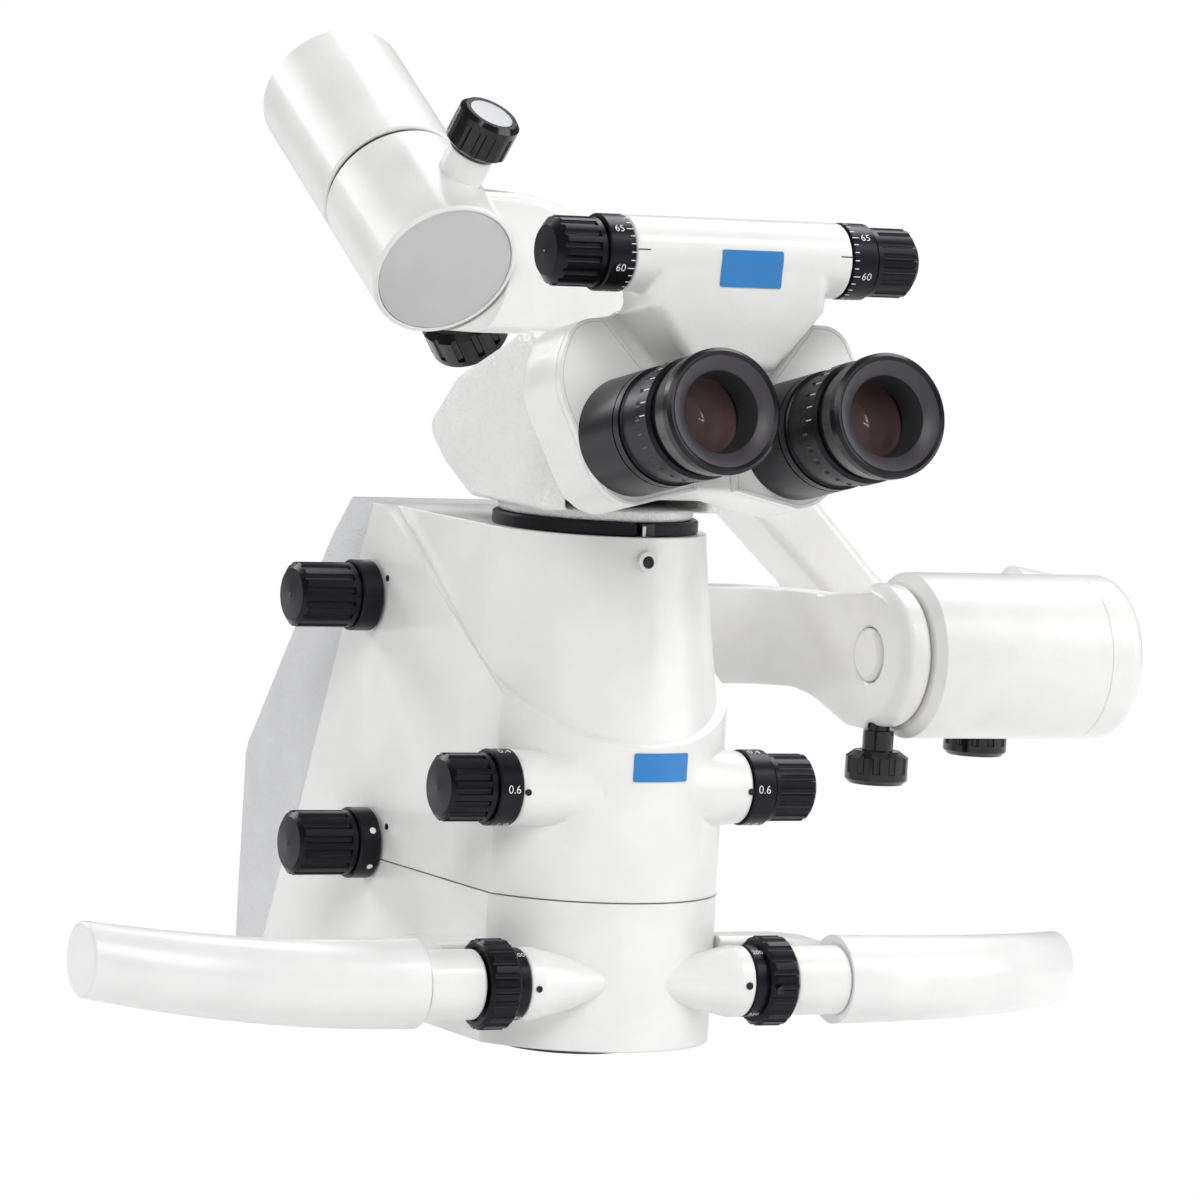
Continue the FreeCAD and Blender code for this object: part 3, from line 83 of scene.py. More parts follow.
@dataclass(frozen=True)
class Finish:
    """One surface finish and the numbers that its shader is built from.

    Args:
        name: Name of the material.
        tint: Base colour, linear red, green and blue.
        rough: Roughness of the surface.
        metal: Metallic share, 0 or 1.
        relief: Kind of bump.
        depth: Strength of the bump.
        scale: Size of the relief, in repeats per metre.
        coat: Weight of a clear coat.
        vary: How far the base colour drifts over the surface.
        soften: Radius by which edges catch the light, in metres.
        shine: Specular level of the surface.
    """

    name: str
    tint: tuple[float, float, float]
    rough: float
    metal: float = 0.0
    relief: Relief = Relief.SMOOTH
    depth: float = 0.1
    scale: float = 900.0
    coat: float = 0.0
    vary: float = 0.03
    soften: float = 0.0
    shine: float = 0.5

    def build(self) -> bpy.types.Material:
        """Make the material, or return it if the scene has it already.

        Returns:
            The material with its node tree.
        """
        found = bpy.data.materials.get(self.name)
        if found:
            return found
        material = bpy.data.materials.new(self.name)
        material.use_nodes = True
        tree = material.node_tree
        shader = tree.nodes["Principled BSDF"]
        shader.inputs["Metallic"].default_value = self.metal
        shader.inputs["Specular IOR Level"].default_value = self.shine
        if self.coat:
            shader.inputs["Coat Weight"].default_value = self.coat
            shader.inputs["Coat Roughness"].default_value = 0.12
        place = tree.nodes.new("ShaderNodeTexCoord")
        drift = tree.nodes.new("ShaderNodeTexNoise")
        drift.inputs["Scale"].default_value = 38.0
        drift.inputs["Detail"].default_value = 3.0
        tree.links.new(place.outputs["Object"], drift.inputs["Vector"])
        colour = tree.nodes.new("ShaderNodeValToRGB")
        low = [max(0.0, c * (1.0 - self.vary)) for c in self.tint]
        high = [min(1.0, c * (1.0 + self.vary)) for c in self.tint]
        colour.color_ramp.elements[0].position = 0.35
        colour.color_ramp.elements[0].color = (*low, 1.0)
        colour.color_ramp.elements[1].position = 0.65
        colour.color_ramp.elements[1].color = (*high, 1.0)
        tree.links.new(drift.outputs["Fac"], colour.inputs["Fac"])
        tree.links.new(colour.outputs["Color"], shader.inputs["Base Color"])
        spread = tree.nodes.new("ShaderNodeMapRange")
        spread.inputs["To Min"].default_value = max(0.02, self.rough - 0.04)
        spread.inputs["To Max"].default_value = self.rough + 0.04
        tree.links.new(drift.outputs["Fac"], spread.inputs["Value"])
        tree.links.new(spread.outputs["Result"], shader.inputs["Roughness"])
        edge = None
        if self.soften:
            edge = tree.nodes.new("ShaderNodeBevel")
            edge.samples = 6
            edge.inputs["Radius"].default_value = self.soften
            tree.links.new(edge.outputs["Normal"], shader.inputs["Normal"])
        if self.relief is not Relief.SMOOTH:
            self._add_relief(tree, place, shader, edge)
        return material

    def _add_relief(
        self, tree: bpy.types.NodeTree, place: bpy.types.Node, shader: bpy.types.Node, edge: bpy.types.Node | None
    ) -> None:
        """Add the bump of this finish.

        Args:
            tree: Node tree of the material.
            place: Texture coordinate node.
            shader: Surface shader that takes the normal.
            edge: Node that rounds the edges, or None.
        """
        bump = tree.nodes.new("ShaderNodeBump")
        if edge:
            tree.links.new(edge.outputs["Normal"], bump.inputs["Normal"])
        bump.inputs["Strength"].default_value = self.depth
        bump.inputs["Distance"].default_value = 0.0004
        if self.relief is Relief.LEATHER:
            cells = tree.nodes.new("ShaderNodeTexVoronoi")
            cells.feature = "SMOOTH_F1"
            cells.inputs["Scale"].default_value = self.scale
            source = cells.outputs["Distance"]
            vector = cells.inputs["Vector"]
        else:
            noise = tree.nodes.new("ShaderNodeTexNoise")
            noise.inputs["Scale"].default_value = self.scale
            noise.inputs["Detail"].default_value = 2.0
            source = noise.outputs["Fac"]
            vector = noise.inputs["Vector"]
        tree.links.new(place.outputs["Object"], vector)
        tree.links.new(source, bump.inputs["Height"])
        tree.links.new(bump.outputs["Normal"], shader.inputs["Normal"])


PAINT = Finish(
    "satin_white_paint", (0.79, 0.785, 0.77), 0.30,
    relief=Relief.PEEL, depth=0.16, scale=1300.0, coat=0.2, soften=0.0009,
)
HIDE = Finish(
    "grained_white_paint", (0.78, 0.775, 0.765), 0.36,
    relief=Relief.LEATHER, depth=1.0, scale=1000.0, soften=0.0012,
)
GRIP = Finish(
    "smooth_white_shell", (0.80, 0.80, 0.79), 0.34,
    relief=Relief.PEEL, depth=0.03, scale=500.0, coat=0.2, soften=0.0008,
)
COVER = Finish(
    "grey_grained_cover", (0.64, 0.64, 0.66), 0.48,
    relief=Relief.LEATHER, depth=0.9, scale=1100.0, soften=0.001,
)
DISC = Finish("grey_disc", (0.56, 0.56, 0.56), 0.38, metal=0.35, relief=Relief.GRAIN, depth=0.05, scale=2500.0)
BLACK = Finish("black_anodised", (0.005, 0.005, 0.006), 0.09, relief=Relief.PEEL, depth=0.01, scale=700.0, shine=0.26)
KNOB = Finish("black_knob", (0.006, 0.006, 0.006), 0.15, relief=Relief.PEEL, depth=0.02, scale=700.0, shine=0.45)
RUBBER = Finish("soft_rubber", (0.007, 0.006, 0.008), 0.26, relief=Relief.GRAIN, depth=0.04, scale=1600.0, shine=0.3)
LIP = Finish("rubber_inner_lip", (0.032, 0.028, 0.036), 0.45, relief=Relief.GRAIN, depth=0.1, scale=2200.0)
STEEL = Finish("ground_steel", (0.55, 0.55, 0.56), 0.28, metal=1.0, relief=Relief.GRAIN, depth=0.05, scale=1800.0)
ALLOY = Finish("bare_alloy", (0.66, 0.66, 0.67), 0.38, metal=1.0, relief=Relief.GRAIN, depth=0.06, scale=1600.0)
INNER = Finish("matt_black_inside", (0.02, 0.02, 0.02), 0.6, relief=Relief.GRAIN, depth=0.08, scale=1500.0)
# dark seams and print, and also the painted shade in the ring notch
SEAM_AND_SHADE = Finish("dark_seam_and_painted_shade", (0.03, 0.03, 0.03), 0.6, relief=Relief.GRAIN, depth=0.05)
SPRING = Finish("oiled_spring", (0.16, 0.17, 0.19), 0.35, metal=1.0, relief=Relief.GRAIN, depth=0.05)
GLASS = Finish("coated_glass", (0.125, 0.07, 0.072), 0.04, coat=1.0, vary=0.3)
INK = Finish("white_engraving", (0.78, 0.78, 0.76), 0.5, vary=0.02)
PLATE = Finish("blue_plate", (0.02, 0.20, 0.52), 0.35, relief=Relief.PEEL, depth=0.02)
# black screws, and also the painted shade of the index pits
SCREW_AND_PIT_SHADE = Finish("black_screw_and_painted_shade", (0.03, 0.03, 0.032), 0.35, metal=0.7, relief=Relief.GRAIN, depth=0.05)
INLAY = Finish("pale_inlay", (0.46, 0.47, 0.49), 0.42, relief=Relief.GRAIN, depth=0.06, scale=2000.0)
EDGE = Finish("edge_line", (0.62, 0.62, 0.63), 0.4, relief=Relief.PEEL, depth=0.03)

SLOTS = {
    "white_paint": PAINT, "grip_white": GRIP, "disc_grey": DISC, "cover_grey": COVER, "seam_dark": SEAM_AND_SHADE,
    "shaft_steel": STEEL, "knob_plastic": KNOB, "black_anodised": BLACK, "eyecup_rubber": RUBBER,
    "lens_glass": GLASS, "inner_black": INNER, "bare_aluminium": ALLOY, "spring_steel": SPRING,
}
SPECIAL = {"binocular_base": HIDE, "hinge_pin_left": HIDE, "hinge_pin_right": HIDE}


def lay_finishes(frame: dict) -> None:
    """Give every CAD node the finish of its slot.
    """
    slots = {s["node"]: s["material_slot"] for s in frame["record"]["subparts"]}
    for name, node in frame["nodes"].items():
        material = (SPECIAL.get(name) or SLOTS[slots[name]]).build()
        node.data.materials.clear()
        node.data.materials.append(material)
    log.info("finished %d nodes", len(frame["nodes"]))


@dataclass
class Studio:
    """Pale floor and backdrop, soft lamps and the camera of the photograph.

    Args:
        floor_z: Height of the floor, in metres.
        air: Strength of the light that comes from everywhere.
        aim: Point that every lamp faces, in metres.
        lamps: Name, place, side length and power of each square lamp, in metres and watts.
        camera_at: Place of the camera, in metres.
        camera_axes: Directions to the right of the picture, up it, and back towards the viewer.
        lens: Focal length in millimetres, on a sensor 36 mm wide.
    """

    floor_z: float = -0.055
    air: float = 0.16
    aim: tuple[float, float, float] = (0.0, 0.0, 0.15)
    lamps: tuple = (
        ("key", (-1.6, -2.2, 2.2), 1.8, 64.0),
        ("fill", (2.4, -1.6, 1.2), 2.0, 38.0),
        ("top", (1.2, 0.9, 2.6), 1.6, 50.0),
        ("front_strip", (1.4, -1.7, 2.3), 0.45, 9.0),
        ("back_strip", (-1.2, 2.2, 1.3), 1.0, 30.0),
    )
    camera_at: tuple[float, float, float] = (-1.207607, -2.278278, 0.380584)
    camera_axes: tuple = (
        (0.88381, -0.46399, 0.059948), (-0.012291, 0.105066, 0.994389), (-0.467685, -0.879588, 0.087156),
    )
    lens: float = 225.0

    def build(self) -> None:
        """Set the stage up."""
        self._backdrop()
        self._world()
        for name, place, side, power in self.lamps:
            self._lamp(name, place, side, power)
        self._camera()

    def _backdrop(self) -> None:
        """Lay the floor, which the camera itself sees as plain white."""
        bpy.ops.mesh.primitive_plane_add(size=30.0, location=(0.0, 0.0, self.floor_z))
        floor = bpy.context.object
        floor.name = "studio_floor"
        material = bpy.data.materials.new("studio_pale")
        material.use_nodes = True
        tree = material.node_tree
        shader = tree.nodes["Principled BSDF"]
        shader.inputs["Roughness"].default_value = 0.9
        place = tree.nodes.new("ShaderNodeTexCoord")
        noise = tree.nodes.new("ShaderNodeTexNoise")
        noise.inputs["Scale"].default_value = 0.5
        ramp = tree.nodes.new("ShaderNodeValToRGB")
        ramp.color_ramp.elements[0].color = (0.90, 0.90, 0.90, 1.0)
        ramp.color_ramp.elements[1].color = (0.94, 0.94, 0.94, 1.0)
        tree.links.new(place.outputs["Object"], noise.inputs["Vector"])
        tree.links.new(noise.outputs["Fac"], ramp.inputs["Fac"])
        tree.links.new(ramp.outputs["Color"], shader.inputs["Base Color"])
        glow = tree.nodes.new("ShaderNodeEmission")
        path = tree.nodes.new("ShaderNodeLightPath")
        mix = tree.nodes.new("ShaderNodeMixShader")
        out = tree.nodes["Material Output"]
        tree.links.new(path.outputs["Is Camera Ray"], mix.inputs["Fac"])
        tree.links.new(shader.outputs["BSDF"], mix.inputs[1])
        tree.links.new(glow.outputs["Emission"], mix.inputs[2])
        tree.links.new(mix.outputs["Shader"], out.inputs["Surface"])
        floor.data.materials.append(material)

    def _world(self) -> None:
        """Give dim light from everywhere, and white where the camera looks past the floor."""
        world = bpy.data.worlds.new("studio_air")
        bpy.context.scene.world = world
        world.use_nodes = True
        tree = world.node_tree
        air = tree.nodes["Background"]
        air.inputs["Color"].default_value = (0.95, 0.97, 1.0, 1.0)
        air.inputs["Strength"].default_value = self.air
        white = tree.nodes.new("ShaderNodeBackground")
        white.inputs["Color"].default_value = (1.0, 1.0, 1.0, 1.0)
        white.inputs["Strength"].default_value = 1.0
        path = tree.nodes.new("ShaderNodeLightPath")
        mix = tree.nodes.new("ShaderNodeMixShader")
        tree.links.new(path.outputs["Is Camera Ray"], mix.inputs["Fac"])
        tree.links.new(air.outputs["Background"], mix.inputs[1])
        tree.links.new(white.outputs["Background"], mix.inputs[2])
        tree.links.new(mix.outputs["Shader"], tree.nodes["World Output"].inputs["Surface"])

    def _lamp(self, name: str, place: tuple, side: float, power: float) -> None:
        """Hang a square lamp that faces the aim."""
        data = bpy.data.lights.new(name, "AREA")
        data.shape = "SQUARE"
        data.size = side
        data.energy = power
        lamp = bpy.data.objects.new(name, data)
        bpy.context.scene.collection.objects.link(lamp)
        lamp.location = place
        lamp.rotation_euler = (Vector(self.aim) - Vector(place)).to_track_quat("-Z", "Y").to_euler()

    def _camera(self) -> None:
        """Stand where the photographer stood: low at the front left, far away, slightly rolled."""
        data = bpy.data.cameras.new("photo_camera")
        data.sensor_width = 36.0
        data.lens = self.lens
        data.clip_end = 50.0
        camera = bpy.data.objects.new("photo_camera", data)
        bpy.context.scene.collection.objects.link(camera)
        turn = Matrix([Vector(axis) for axis in self.camera_axes]).transposed().to_4x4()
        camera.matrix_world = Matrix.Translation(self.camera_at) @ turn
        bpy.context.scene.camera = camera


X_AXIS = Vector((1.0, 0.0, 0.0))
TO_FRONT = Vector((0.0, -1.0, 0.0))
UPRIGHT = Vector((0.0, 0.0, 1.0))
LOOK_TILT = math.radians(12.4)  # how far the eyepieces look up
LOOK = Vector((0.0, -math.cos(LOOK_TILT), math.sin(LOOK_TILT)))
LOOK_UP = Vector((0.0, math.sin(LOOK_TILT), math.cos(LOOK_TILT)))
LOOK_ROOT = Vector((0.0, -80.0, 217.4))  # where their axes leave the head, in millimetres


def alone(piece: bpy.types.Object | None = None) -> None:
    """Leave edit mode and select nothing, or this piece alone.

    Args:
        piece: The object that becomes the only selected and active one.
    """
    if bpy.context.object and bpy.context.object.mode != "OBJECT":
        bpy.ops.object.mode_set(mode="OBJECT")
    bpy.ops.object.select_all(action="DESELECT")
    if piece:
        piece.select_set(True)
        bpy.context.view_layer.objects.active = piece


def settle(piece: bpy.types.Object) -> bpy.types.Object:
    """Move the place, turn and scale of a piece into its mesh.

    Args:
        piece: The object.

    Returns:
        The same object, at the origin.
    """
    alone(piece)
    bpy.ops.object.transform_apply(location=True, rotation=True, scale=True)
    return piece


def pick(piece: bpy.types.Object, test: Callable[[bpy.types.MeshPolygon], bool]) -> None:
    """Open a piece in edit mode with only some of its faces selected.

    Args:
        piece: The object.
        test: Tells whether a face is wanted.
    """
    alone(piece)
    mesh = piece.data
    bpy.context.tool_settings.mesh_select_mode = (False, False, True)
    mesh.vertices.foreach_set("select", [False] * len(mesh.vertices))
    mesh.edges.foreach_set("select", [False] * len(mesh.edges))
    for face in mesh.polygons:
        face.select = bool(test(face))
    bpy.ops.object.mode_set(mode="EDIT")


def together(parts: list[bpy.types.Object], name: str) -> bpy.types.Object:
    """Join several objects into one.

    Args:
        parts: The objects.
        name: Name of the joined piece.

    Returns:
        The joined object.
    """
    alone(parts[0])
    for part in parts:
        part.select_set(True)
    if len(parts) > 1:
        bpy.ops.object.join()
    piece = bpy.context.object
    piece.name = name
    piece.data.name = name
    return piece


def dress(piece: bpy.types.Object, finish: Finish, body: str) -> bpy.types.Object:
    """Give a piece its finish and let it ride on a body.

    Args:
        piece: The object.
        finish: Its surface.
        body: Name of the body that carries it.

    Returns:
        The same object.
    """
    alone(piece)
    bpy.ops.object.shade_smooth_by_angle(angle=math.radians(SMOOTH_ANGLE))
    piece.data.materials.clear()
    piece.data.materials.append(finish.build())
    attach(piece, body)
    return piece


def stroke(width: float, height: float, x: float = 0.0, y: float = 0.0, thick: float = PROUD) -> bpy.types.Object:
    """Make a filled-in engraved line, flat on the XY plane.

    Args:
        width: Length along X in millimetres.
        height: Length along Y in millimetres.
        x: Middle along X.
        y: Middle along Y.
        thick: How far it stands proud.

    Returns:
        The line as a mesh object.
    """
    alone()
    bpy.ops.mesh.primitive_plane_add(size=1.0, location=(x, y, -SUNK))
    piece = bpy.context.object
    piece.scale = (width, height, 1.0)
    settle(piece)
    pick(piece, lambda face: True)
    bpy.ops.mesh.extrude_region_move(TRANSFORM_OT_translate={"value": (0.0, 0.0, thick + SUNK)})
    bpy.ops.mesh.select_all(action="SELECT")
    bpy.ops.mesh.normals_make_consistent(inside=False)
    bpy.ops.object.mode_set(mode="OBJECT")
    return piece


def spot(radius: float, x: float, y: float, thick: float = PROUD) -> bpy.types.Object:
    """Make a filled-in engraved dot, flat on the XY plane.

    Args:
        radius: Radius in millimetres.
        x: Middle along X.
        y: Middle along Y.
        thick: How far it stands proud.

    Returns:
        The dot as a mesh object.
    """
    alone()
    bpy.ops.mesh.primitive_circle_add(vertices=24, radius=radius, fill_type="NGON", location=(x, y, -SUNK))
    piece = settle(bpy.context.object)
    pick(piece, lambda face: True)
    bpy.ops.mesh.extrude_region_move(TRANSFORM_OT_translate={"value": (0.0, 0.0, thick + SUNK)})
    bpy.ops.mesh.select_all(action="SELECT")
    bpy.ops.mesh.normals_make_consistent(inside=False)
    bpy.ops.object.mode_set(mode="OBJECT")
    return piece


def figure(text: str, high: float, x: float = 0.0, y: float = 0.0, thick: float = PROUD) -> bpy.types.Object:
    """Make the digits of a dial, flat on the XY plane.

    Args:
        text: The number.
        high: Height of a digit in millimetres.
        x: Middle along X.
        y: Middle along Y.
        thick: How far they stand proud.

    Returns:
        The digits as a mesh object.
    """
    alone()
    bpy.ops.object.text_add(location=(0.0, 0.0, 0.0))
    words = bpy.context.object.data
    words.body = text
    words.size = high * 1.4
    words.align_x = "CENTER"
    words.align_y = "CENTER"
    words.resolution_u = 3
    words.offset = -0.014 * high
    words.extrude = (thick + SUNK) / 2.0
    bpy.ops.object.convert(target="MESH")
    piece = bpy.context.object
    piece.location = (x, y, (thick - SUNK) / 2.0)
    settle(piece)
    pick(piece, lambda face: True)
    bpy.ops.mesh.remove_doubles(threshold=0.0005)
    bpy.ops.object.mode_set(mode="OBJECT")
    return piece


@dataclass(frozen=True)
class Rim:
    """Round surface that flat marks are laid on; sizes in millimetres.

    Args:
        origin: A point on the axis.
        axis: Direction of the axis.
        facing: Direction from the axis to the middle of the marks.
        radius: Radius of the surface.
        around: True where X of the marks runs round the axis, False where it runs along it.
    """

    origin: Vector
    axis: Vector
    facing: Vector
    radius: float
    around: bool = False

    def wrap(self, piece: bpy.types.Object) -> bpy.types.Object:
        """Lay a flat piece on the surface and bring it to metres.

        Args:
            piece: Marks on the XY plane, in millimetres.

        Returns:
            The same object.
        """
        side = self.axis.cross(self.facing) if self.around else self.facing.cross(self.axis)
        for vertex in piece.data.vertices:
            x, y, z = vertex.co
            turn, run = (x, y) if self.around else (y, x)
            angle = turn / self.radius
            out = self.facing * math.cos(angle) + side * math.sin(angle)
            vertex.co = (self.origin + self.axis * run + out * (self.radius + z)) * MM
        return piece


def at_angle(radius: float, degrees: float) -> float:
    """Return the arc length of an angle on a radius."""
    return radius * math.radians(degrees)


def turned_to(normal: Vector) -> tuple[float, float, float]:
    """Return the Euler angles that turn Z to this direction."""
    return tuple(normal.to_track_quat("Z", "Y").to_euler())


def copy_of(node: bpy.types.Object, name: str) -> bpy.types.Object:
    """Copy a CAD node into a piece with joined faces.

    Args:
        node: The CAD node.
        name: Name of the copy.

    Returns:
        The copy.
    """
    alone()
    piece = node.copy()
    piece.data = node.data.copy()
    bpy.context.scene.collection.objects.link(piece)
    piece.name = name
    piece.data.name = name
    piece.parent = None
    pick(piece, lambda face: True)
    bpy.ops.mesh.customdata_custom_splitnormals_clear()
    bpy.ops.mesh.remove_doubles(threshold=0.000001)
    bpy.ops.object.mode_set(mode="OBJECT")
    return piece


@dataclass
class Dials:
    """White figures and ticks on the control dials, in millimetres and degrees.

    Args:
        distance_axis: Point on the axis of the eye distance knobs.
        distance_rim: Radius of their dials.
        distance_start: Distance of a dial's inner end from the middle.
        distance_now: Eye distance that the dials show at rest.
        degrees_per_mm: Turn of the dial for each millimetre.
        index_angle: Angle of the index line above the front.
        block_rim: Radius of the block's end, which carries the index line.
        power_axis: Point on the axis of the magnification knobs.
        power_rim: Radius of their dials.
        power_start: Distance of a dial's inner end from the middle.
        power_steps: Numbers around the dial.
        focus_axis: Point on the axis of the focus rings.
        focus_rim: Radius of their smooth band.
        focus_start: Distance of the band's inner end from the middle.
        lamp_axis: Point on the axis of the lamp dial.
        lamp_rim: Radius of the lamp dial.
        lamp_dots: Radii of its dots.
    """

    distance_axis: tuple[float, float, float] = (0.0, -83.5, 278.78)
    distance_rim: float = 12.9
    distance_start: float = 41.4
    distance_now: float = 62.4
    degrees_per_mm: float = 12.3
    index_angle: float = 9.4
    block_rim: float = 12.8
    power_axis: tuple[float, float, float] = (0.0, -32.2, 93.8)
    power_rim: float = 13.1
    power_start: float = 44.6
    power_steps: tuple[str, ...] = ("0.6", "1.0", "1.6", "2.5", "0.4")
    focus_axis: tuple[float, float, float] = (0.0, -44.8, 28.3)
    focus_rim: float = 12.4
    focus_start: float = 43.5
    lamp_axis: tuple[float, float, float] = (0.0, 72.0, 60.9)
    lamp_rim: float = 12.5
    lamp_dots: tuple[float, ...] = (1.15, 1.05, 0.95, 0.8, 0.65)

    def build(self, frame: dict) -> list[bpy.types.Object]:
        """Build the marks of every dial.


        Returns:
            The pieces.
        """
        made = []
        for sign, side in ((-1, "left"), (1, "right")):
            made.append(dress(self._distance(sign, side), INK, "eye_distance"))
            made.append(dress(self._distance_index(sign, side), SEAM_AND_SHADE, "binocular"))
            made.append(dress(self._power(sign, side), INK, "magnification"))
            made.append(dress(self._focus(sign, side), INK, "focus"))
        made.append(dress(self._brightness(), INK, "brightness"))
        return made

    def _distance(self, sign: int, side: str) -> bpy.types.Object:
        """Eye distance scale: a tick for each millimetre and a number for each fifth."""
        parts = []
        for value in range(50, 76):
            y = at_angle(self.distance_rim, self.index_angle + (value - self.distance_now) * self.degrees_per_mm)
            long = value % 5 == 0
            run = 2.5 if long else 1.6
            parts.append(stroke(run, 0.3, sign * (self.distance_start + 0.25 + run / 2), y))
            if long:
                parts.append(figure(str(value), 2.7, sign * (self.distance_start + 5.3), y))
        rim = Rim(Vector(self.distance_axis), X_AXIS, TO_FRONT, self.distance_rim)
        return rim.wrap(together(parts, f"eye_distance_scale_{side}"))

    def _distance_index(self, sign: int, side: str) -> bpy.types.Object:
        """Dark line on the end of the block, where the scale is read."""
        rim = Rim(Vector(self.distance_axis), X_AXIS, TO_FRONT, self.block_rim)
        mark = stroke(4.6, 0.4, sign * 38.5, at_angle(self.block_rim, self.index_angle))
        return rim.wrap(together([mark], f"eye_distance_index_{side}"))

    def _power(self, sign: int, side: str) -> bpy.types.Object:
        """Magnification steps, five around the ring."""
        parts = []
        for step, value in enumerate(self.power_steps):
            y = at_angle(self.power_rim, 3.0 - 360.0 / len(self.power_steps) * step)
            parts.append(figure(value, 2.9, sign * (self.power_start + 3.7), y))
        rim = Rim(Vector(self.power_axis), X_AXIS, TO_FRONT, self.power_rim)
        return rim.wrap(together(parts, f"magnification_scale_{side}"))

    def _focus(self, sign: int, side: str) -> bpy.types.Object:
        """Working distances around the smooth band of the focus ring."""
        parts = []
        for value, angle in (("200", 60.0), ("250", -60.0), ("300", 180.0)):
            parts.append(figure(value, 2.0, sign * (self.focus_start + 2.5), at_angle(self.focus_rim, angle)))
        rim = Rim(Vector(self.focus_axis), X_AXIS, TO_FRONT, self.focus_rim)
        return rim.wrap(together(parts, f"focus_scale_{side}"))

    def _brightness(self) -> bpy.types.Object:
        """Row of growing dots on the lamp dial."""
        parts = []
        for step, radius in enumerate(self.lamp_dots):
            parts.append(spot(radius, -48.3, at_angle(self.lamp_rim, 26.8 - 62.0 * step)))
        rim = Rim(Vector(self.lamp_axis), X_AXIS, TO_FRONT, self.lamp_rim)
        return rim.wrap(together(parts, "brightness_dots"))


@dataclass
class Screws:
    """Grub screws of the bosses and the neck, and dark discs of painted shade in the index pits beside the flank
    knobs.

    Args:
        rows: Name, place, outward direction, radius and body of each, in millimetres.
    """

    rows: tuple = (
        ("power_screw_left", (-42.9, -44.7, 93.6), (-0.06, -1.0, 0.0), 1.15, "head"),
        ("power_screw_right", (43.2, -44.7, 93.8), (0.09, -1.0, 0.0), 1.15, "head"),
        ("focus_screw_left", (-40.8, -57.2, 28.3), TO_FRONT, 1.15, "head"),
        ("focus_screw_right", (40.3, -57.2, 28.4), TO_FRONT, 1.3, "head"),
        ("neck_screw", (0.1, -40.5, 171.7), TO_FRONT, 1.9, "head"),
        ("focus_ring_screw", (50.8, -60.2, 27.1), (0.0, -1.0, -0.08), 1.4, "focus"),
        # painted shade: the two index pits are dark discs, not cut as hollows
        ("filter_pit_painted_shade", (-44.0, 69.1, 154.6), -X_AXIS, 1.1, "head"),
        ("brightness_pit_painted_shade", (-44.0, 58.6, 68.2), -X_AXIS, 1.1, "head"),
    )

    def build(self, frame: dict) -> list[bpy.types.Object]:
        """Build every screw.


        Returns:
            The pieces.
        """
        made = []
        for name, place, normal, radius, body in self.rows:
            made.append(self._grub(name, Vector(place), Vector(normal).normalized(), radius, body))
        return made

    def _grub(self, name: str, place: Vector, normal: Vector, radius: float, body: str) -> bpy.types.Object:
        """Cut a hexagon into a short dark cylinder that sits in the surface."""
        alone()
        bpy.ops.mesh.primitive_cylinder_add(
            vertices=32, radius=radius * MM, depth=0.8 * MM, location=(place - normal * 0.08) * MM,
            rotation=turned_to(normal),
        )
        piece = bpy.context.object
        piece.name = name
        settle(piece)
        pick(piece, lambda face: face.normal.dot(normal) > 0.99)
        bpy.ops.mesh.inset(thickness=0.22 * radius * MM, depth=0.0)
        bpy.ops.mesh.inset(thickness=0.04 * radius * MM, depth=-0.12 * MM)
        bpy.ops.object.mode_set(mode="OBJECT")
        bpy.ops.object.select_all(action="DESELECT")
        bpy.ops.mesh.primitive_cylinder_add(
            vertices=6, radius=0.42 * radius * MM, depth=0.5 * MM, rotation=turned_to(normal),
            location=(place + normal * 0.31) * MM,
        )
        key = settle(bpy.context.object)
        alone(piece)
        hole = piece.modifiers.new("key", "BOOLEAN")
        hole.operation = "DIFFERENCE"
        hole.solver = "EXACT"
        hole.object = key
        bpy.ops.object.modifier_apply(modifier=hole.name)
        bpy.data.objects.remove(key)
        return dress(piece, SCREW_AND_PIT_SHADE, body)


@dataclass
class LockInlays:
    """Light discs set into the ends of the lock knobs.

    Args:
        rows: Body, foot and axis of each knob, then its radius and length, in millimetres.
    """

    rows: tuple = (
        ("pendulum_lock", (9.32, 128.28, 303.92), (0.1736, -0.4998, 0.8485), 11.7, 16.0),
        ("arm_lock", (28.41, 170.75, 243.64), (0.6018, 0.4053, -0.6881), 15.0, 16.0),
        ("drum_lock", (207.0, 82.0, 107.6), (0.0, 0.0, -1.0), 11.7, 16.0),
        ("tilt_lock", (147.2, 50.0, 96.9), (0.0, 0.0, -1.0), 11.4, 12.0),
    )

    def build(self, frame: dict) -> list[bpy.types.Object]:
        """Build the four discs.


        Returns:
            The pieces.
        """
        made = []
        for body, foot, axis, radius, high in self.rows:
            axis = Vector(axis).normalized()
            alone()
            bpy.ops.mesh.primitive_cylinder_add(
                vertices=48, radius=(radius - 3.5) * MM, depth=0.5 * MM, rotation=turned_to(axis),
                location=(Vector(foot) + axis * (high - 0.36)) * MM,
            )
            piece = bpy.context.object
            piece.name = f"{body}_inlay"
            settle(piece)
            pick(piece, lambda face, axis=axis: face.normal.dot(axis) > 0.99)
            bpy.ops.mesh.inset(thickness=0.5 * MM, depth=0.12 * MM)
            bpy.ops.mesh.inset(thickness=1.3 * MM, depth=0.05 * MM)
            bpy.ops.object.mode_set(mode="OBJECT")
            made.append(dress(piece, INLAY, body))
        return made


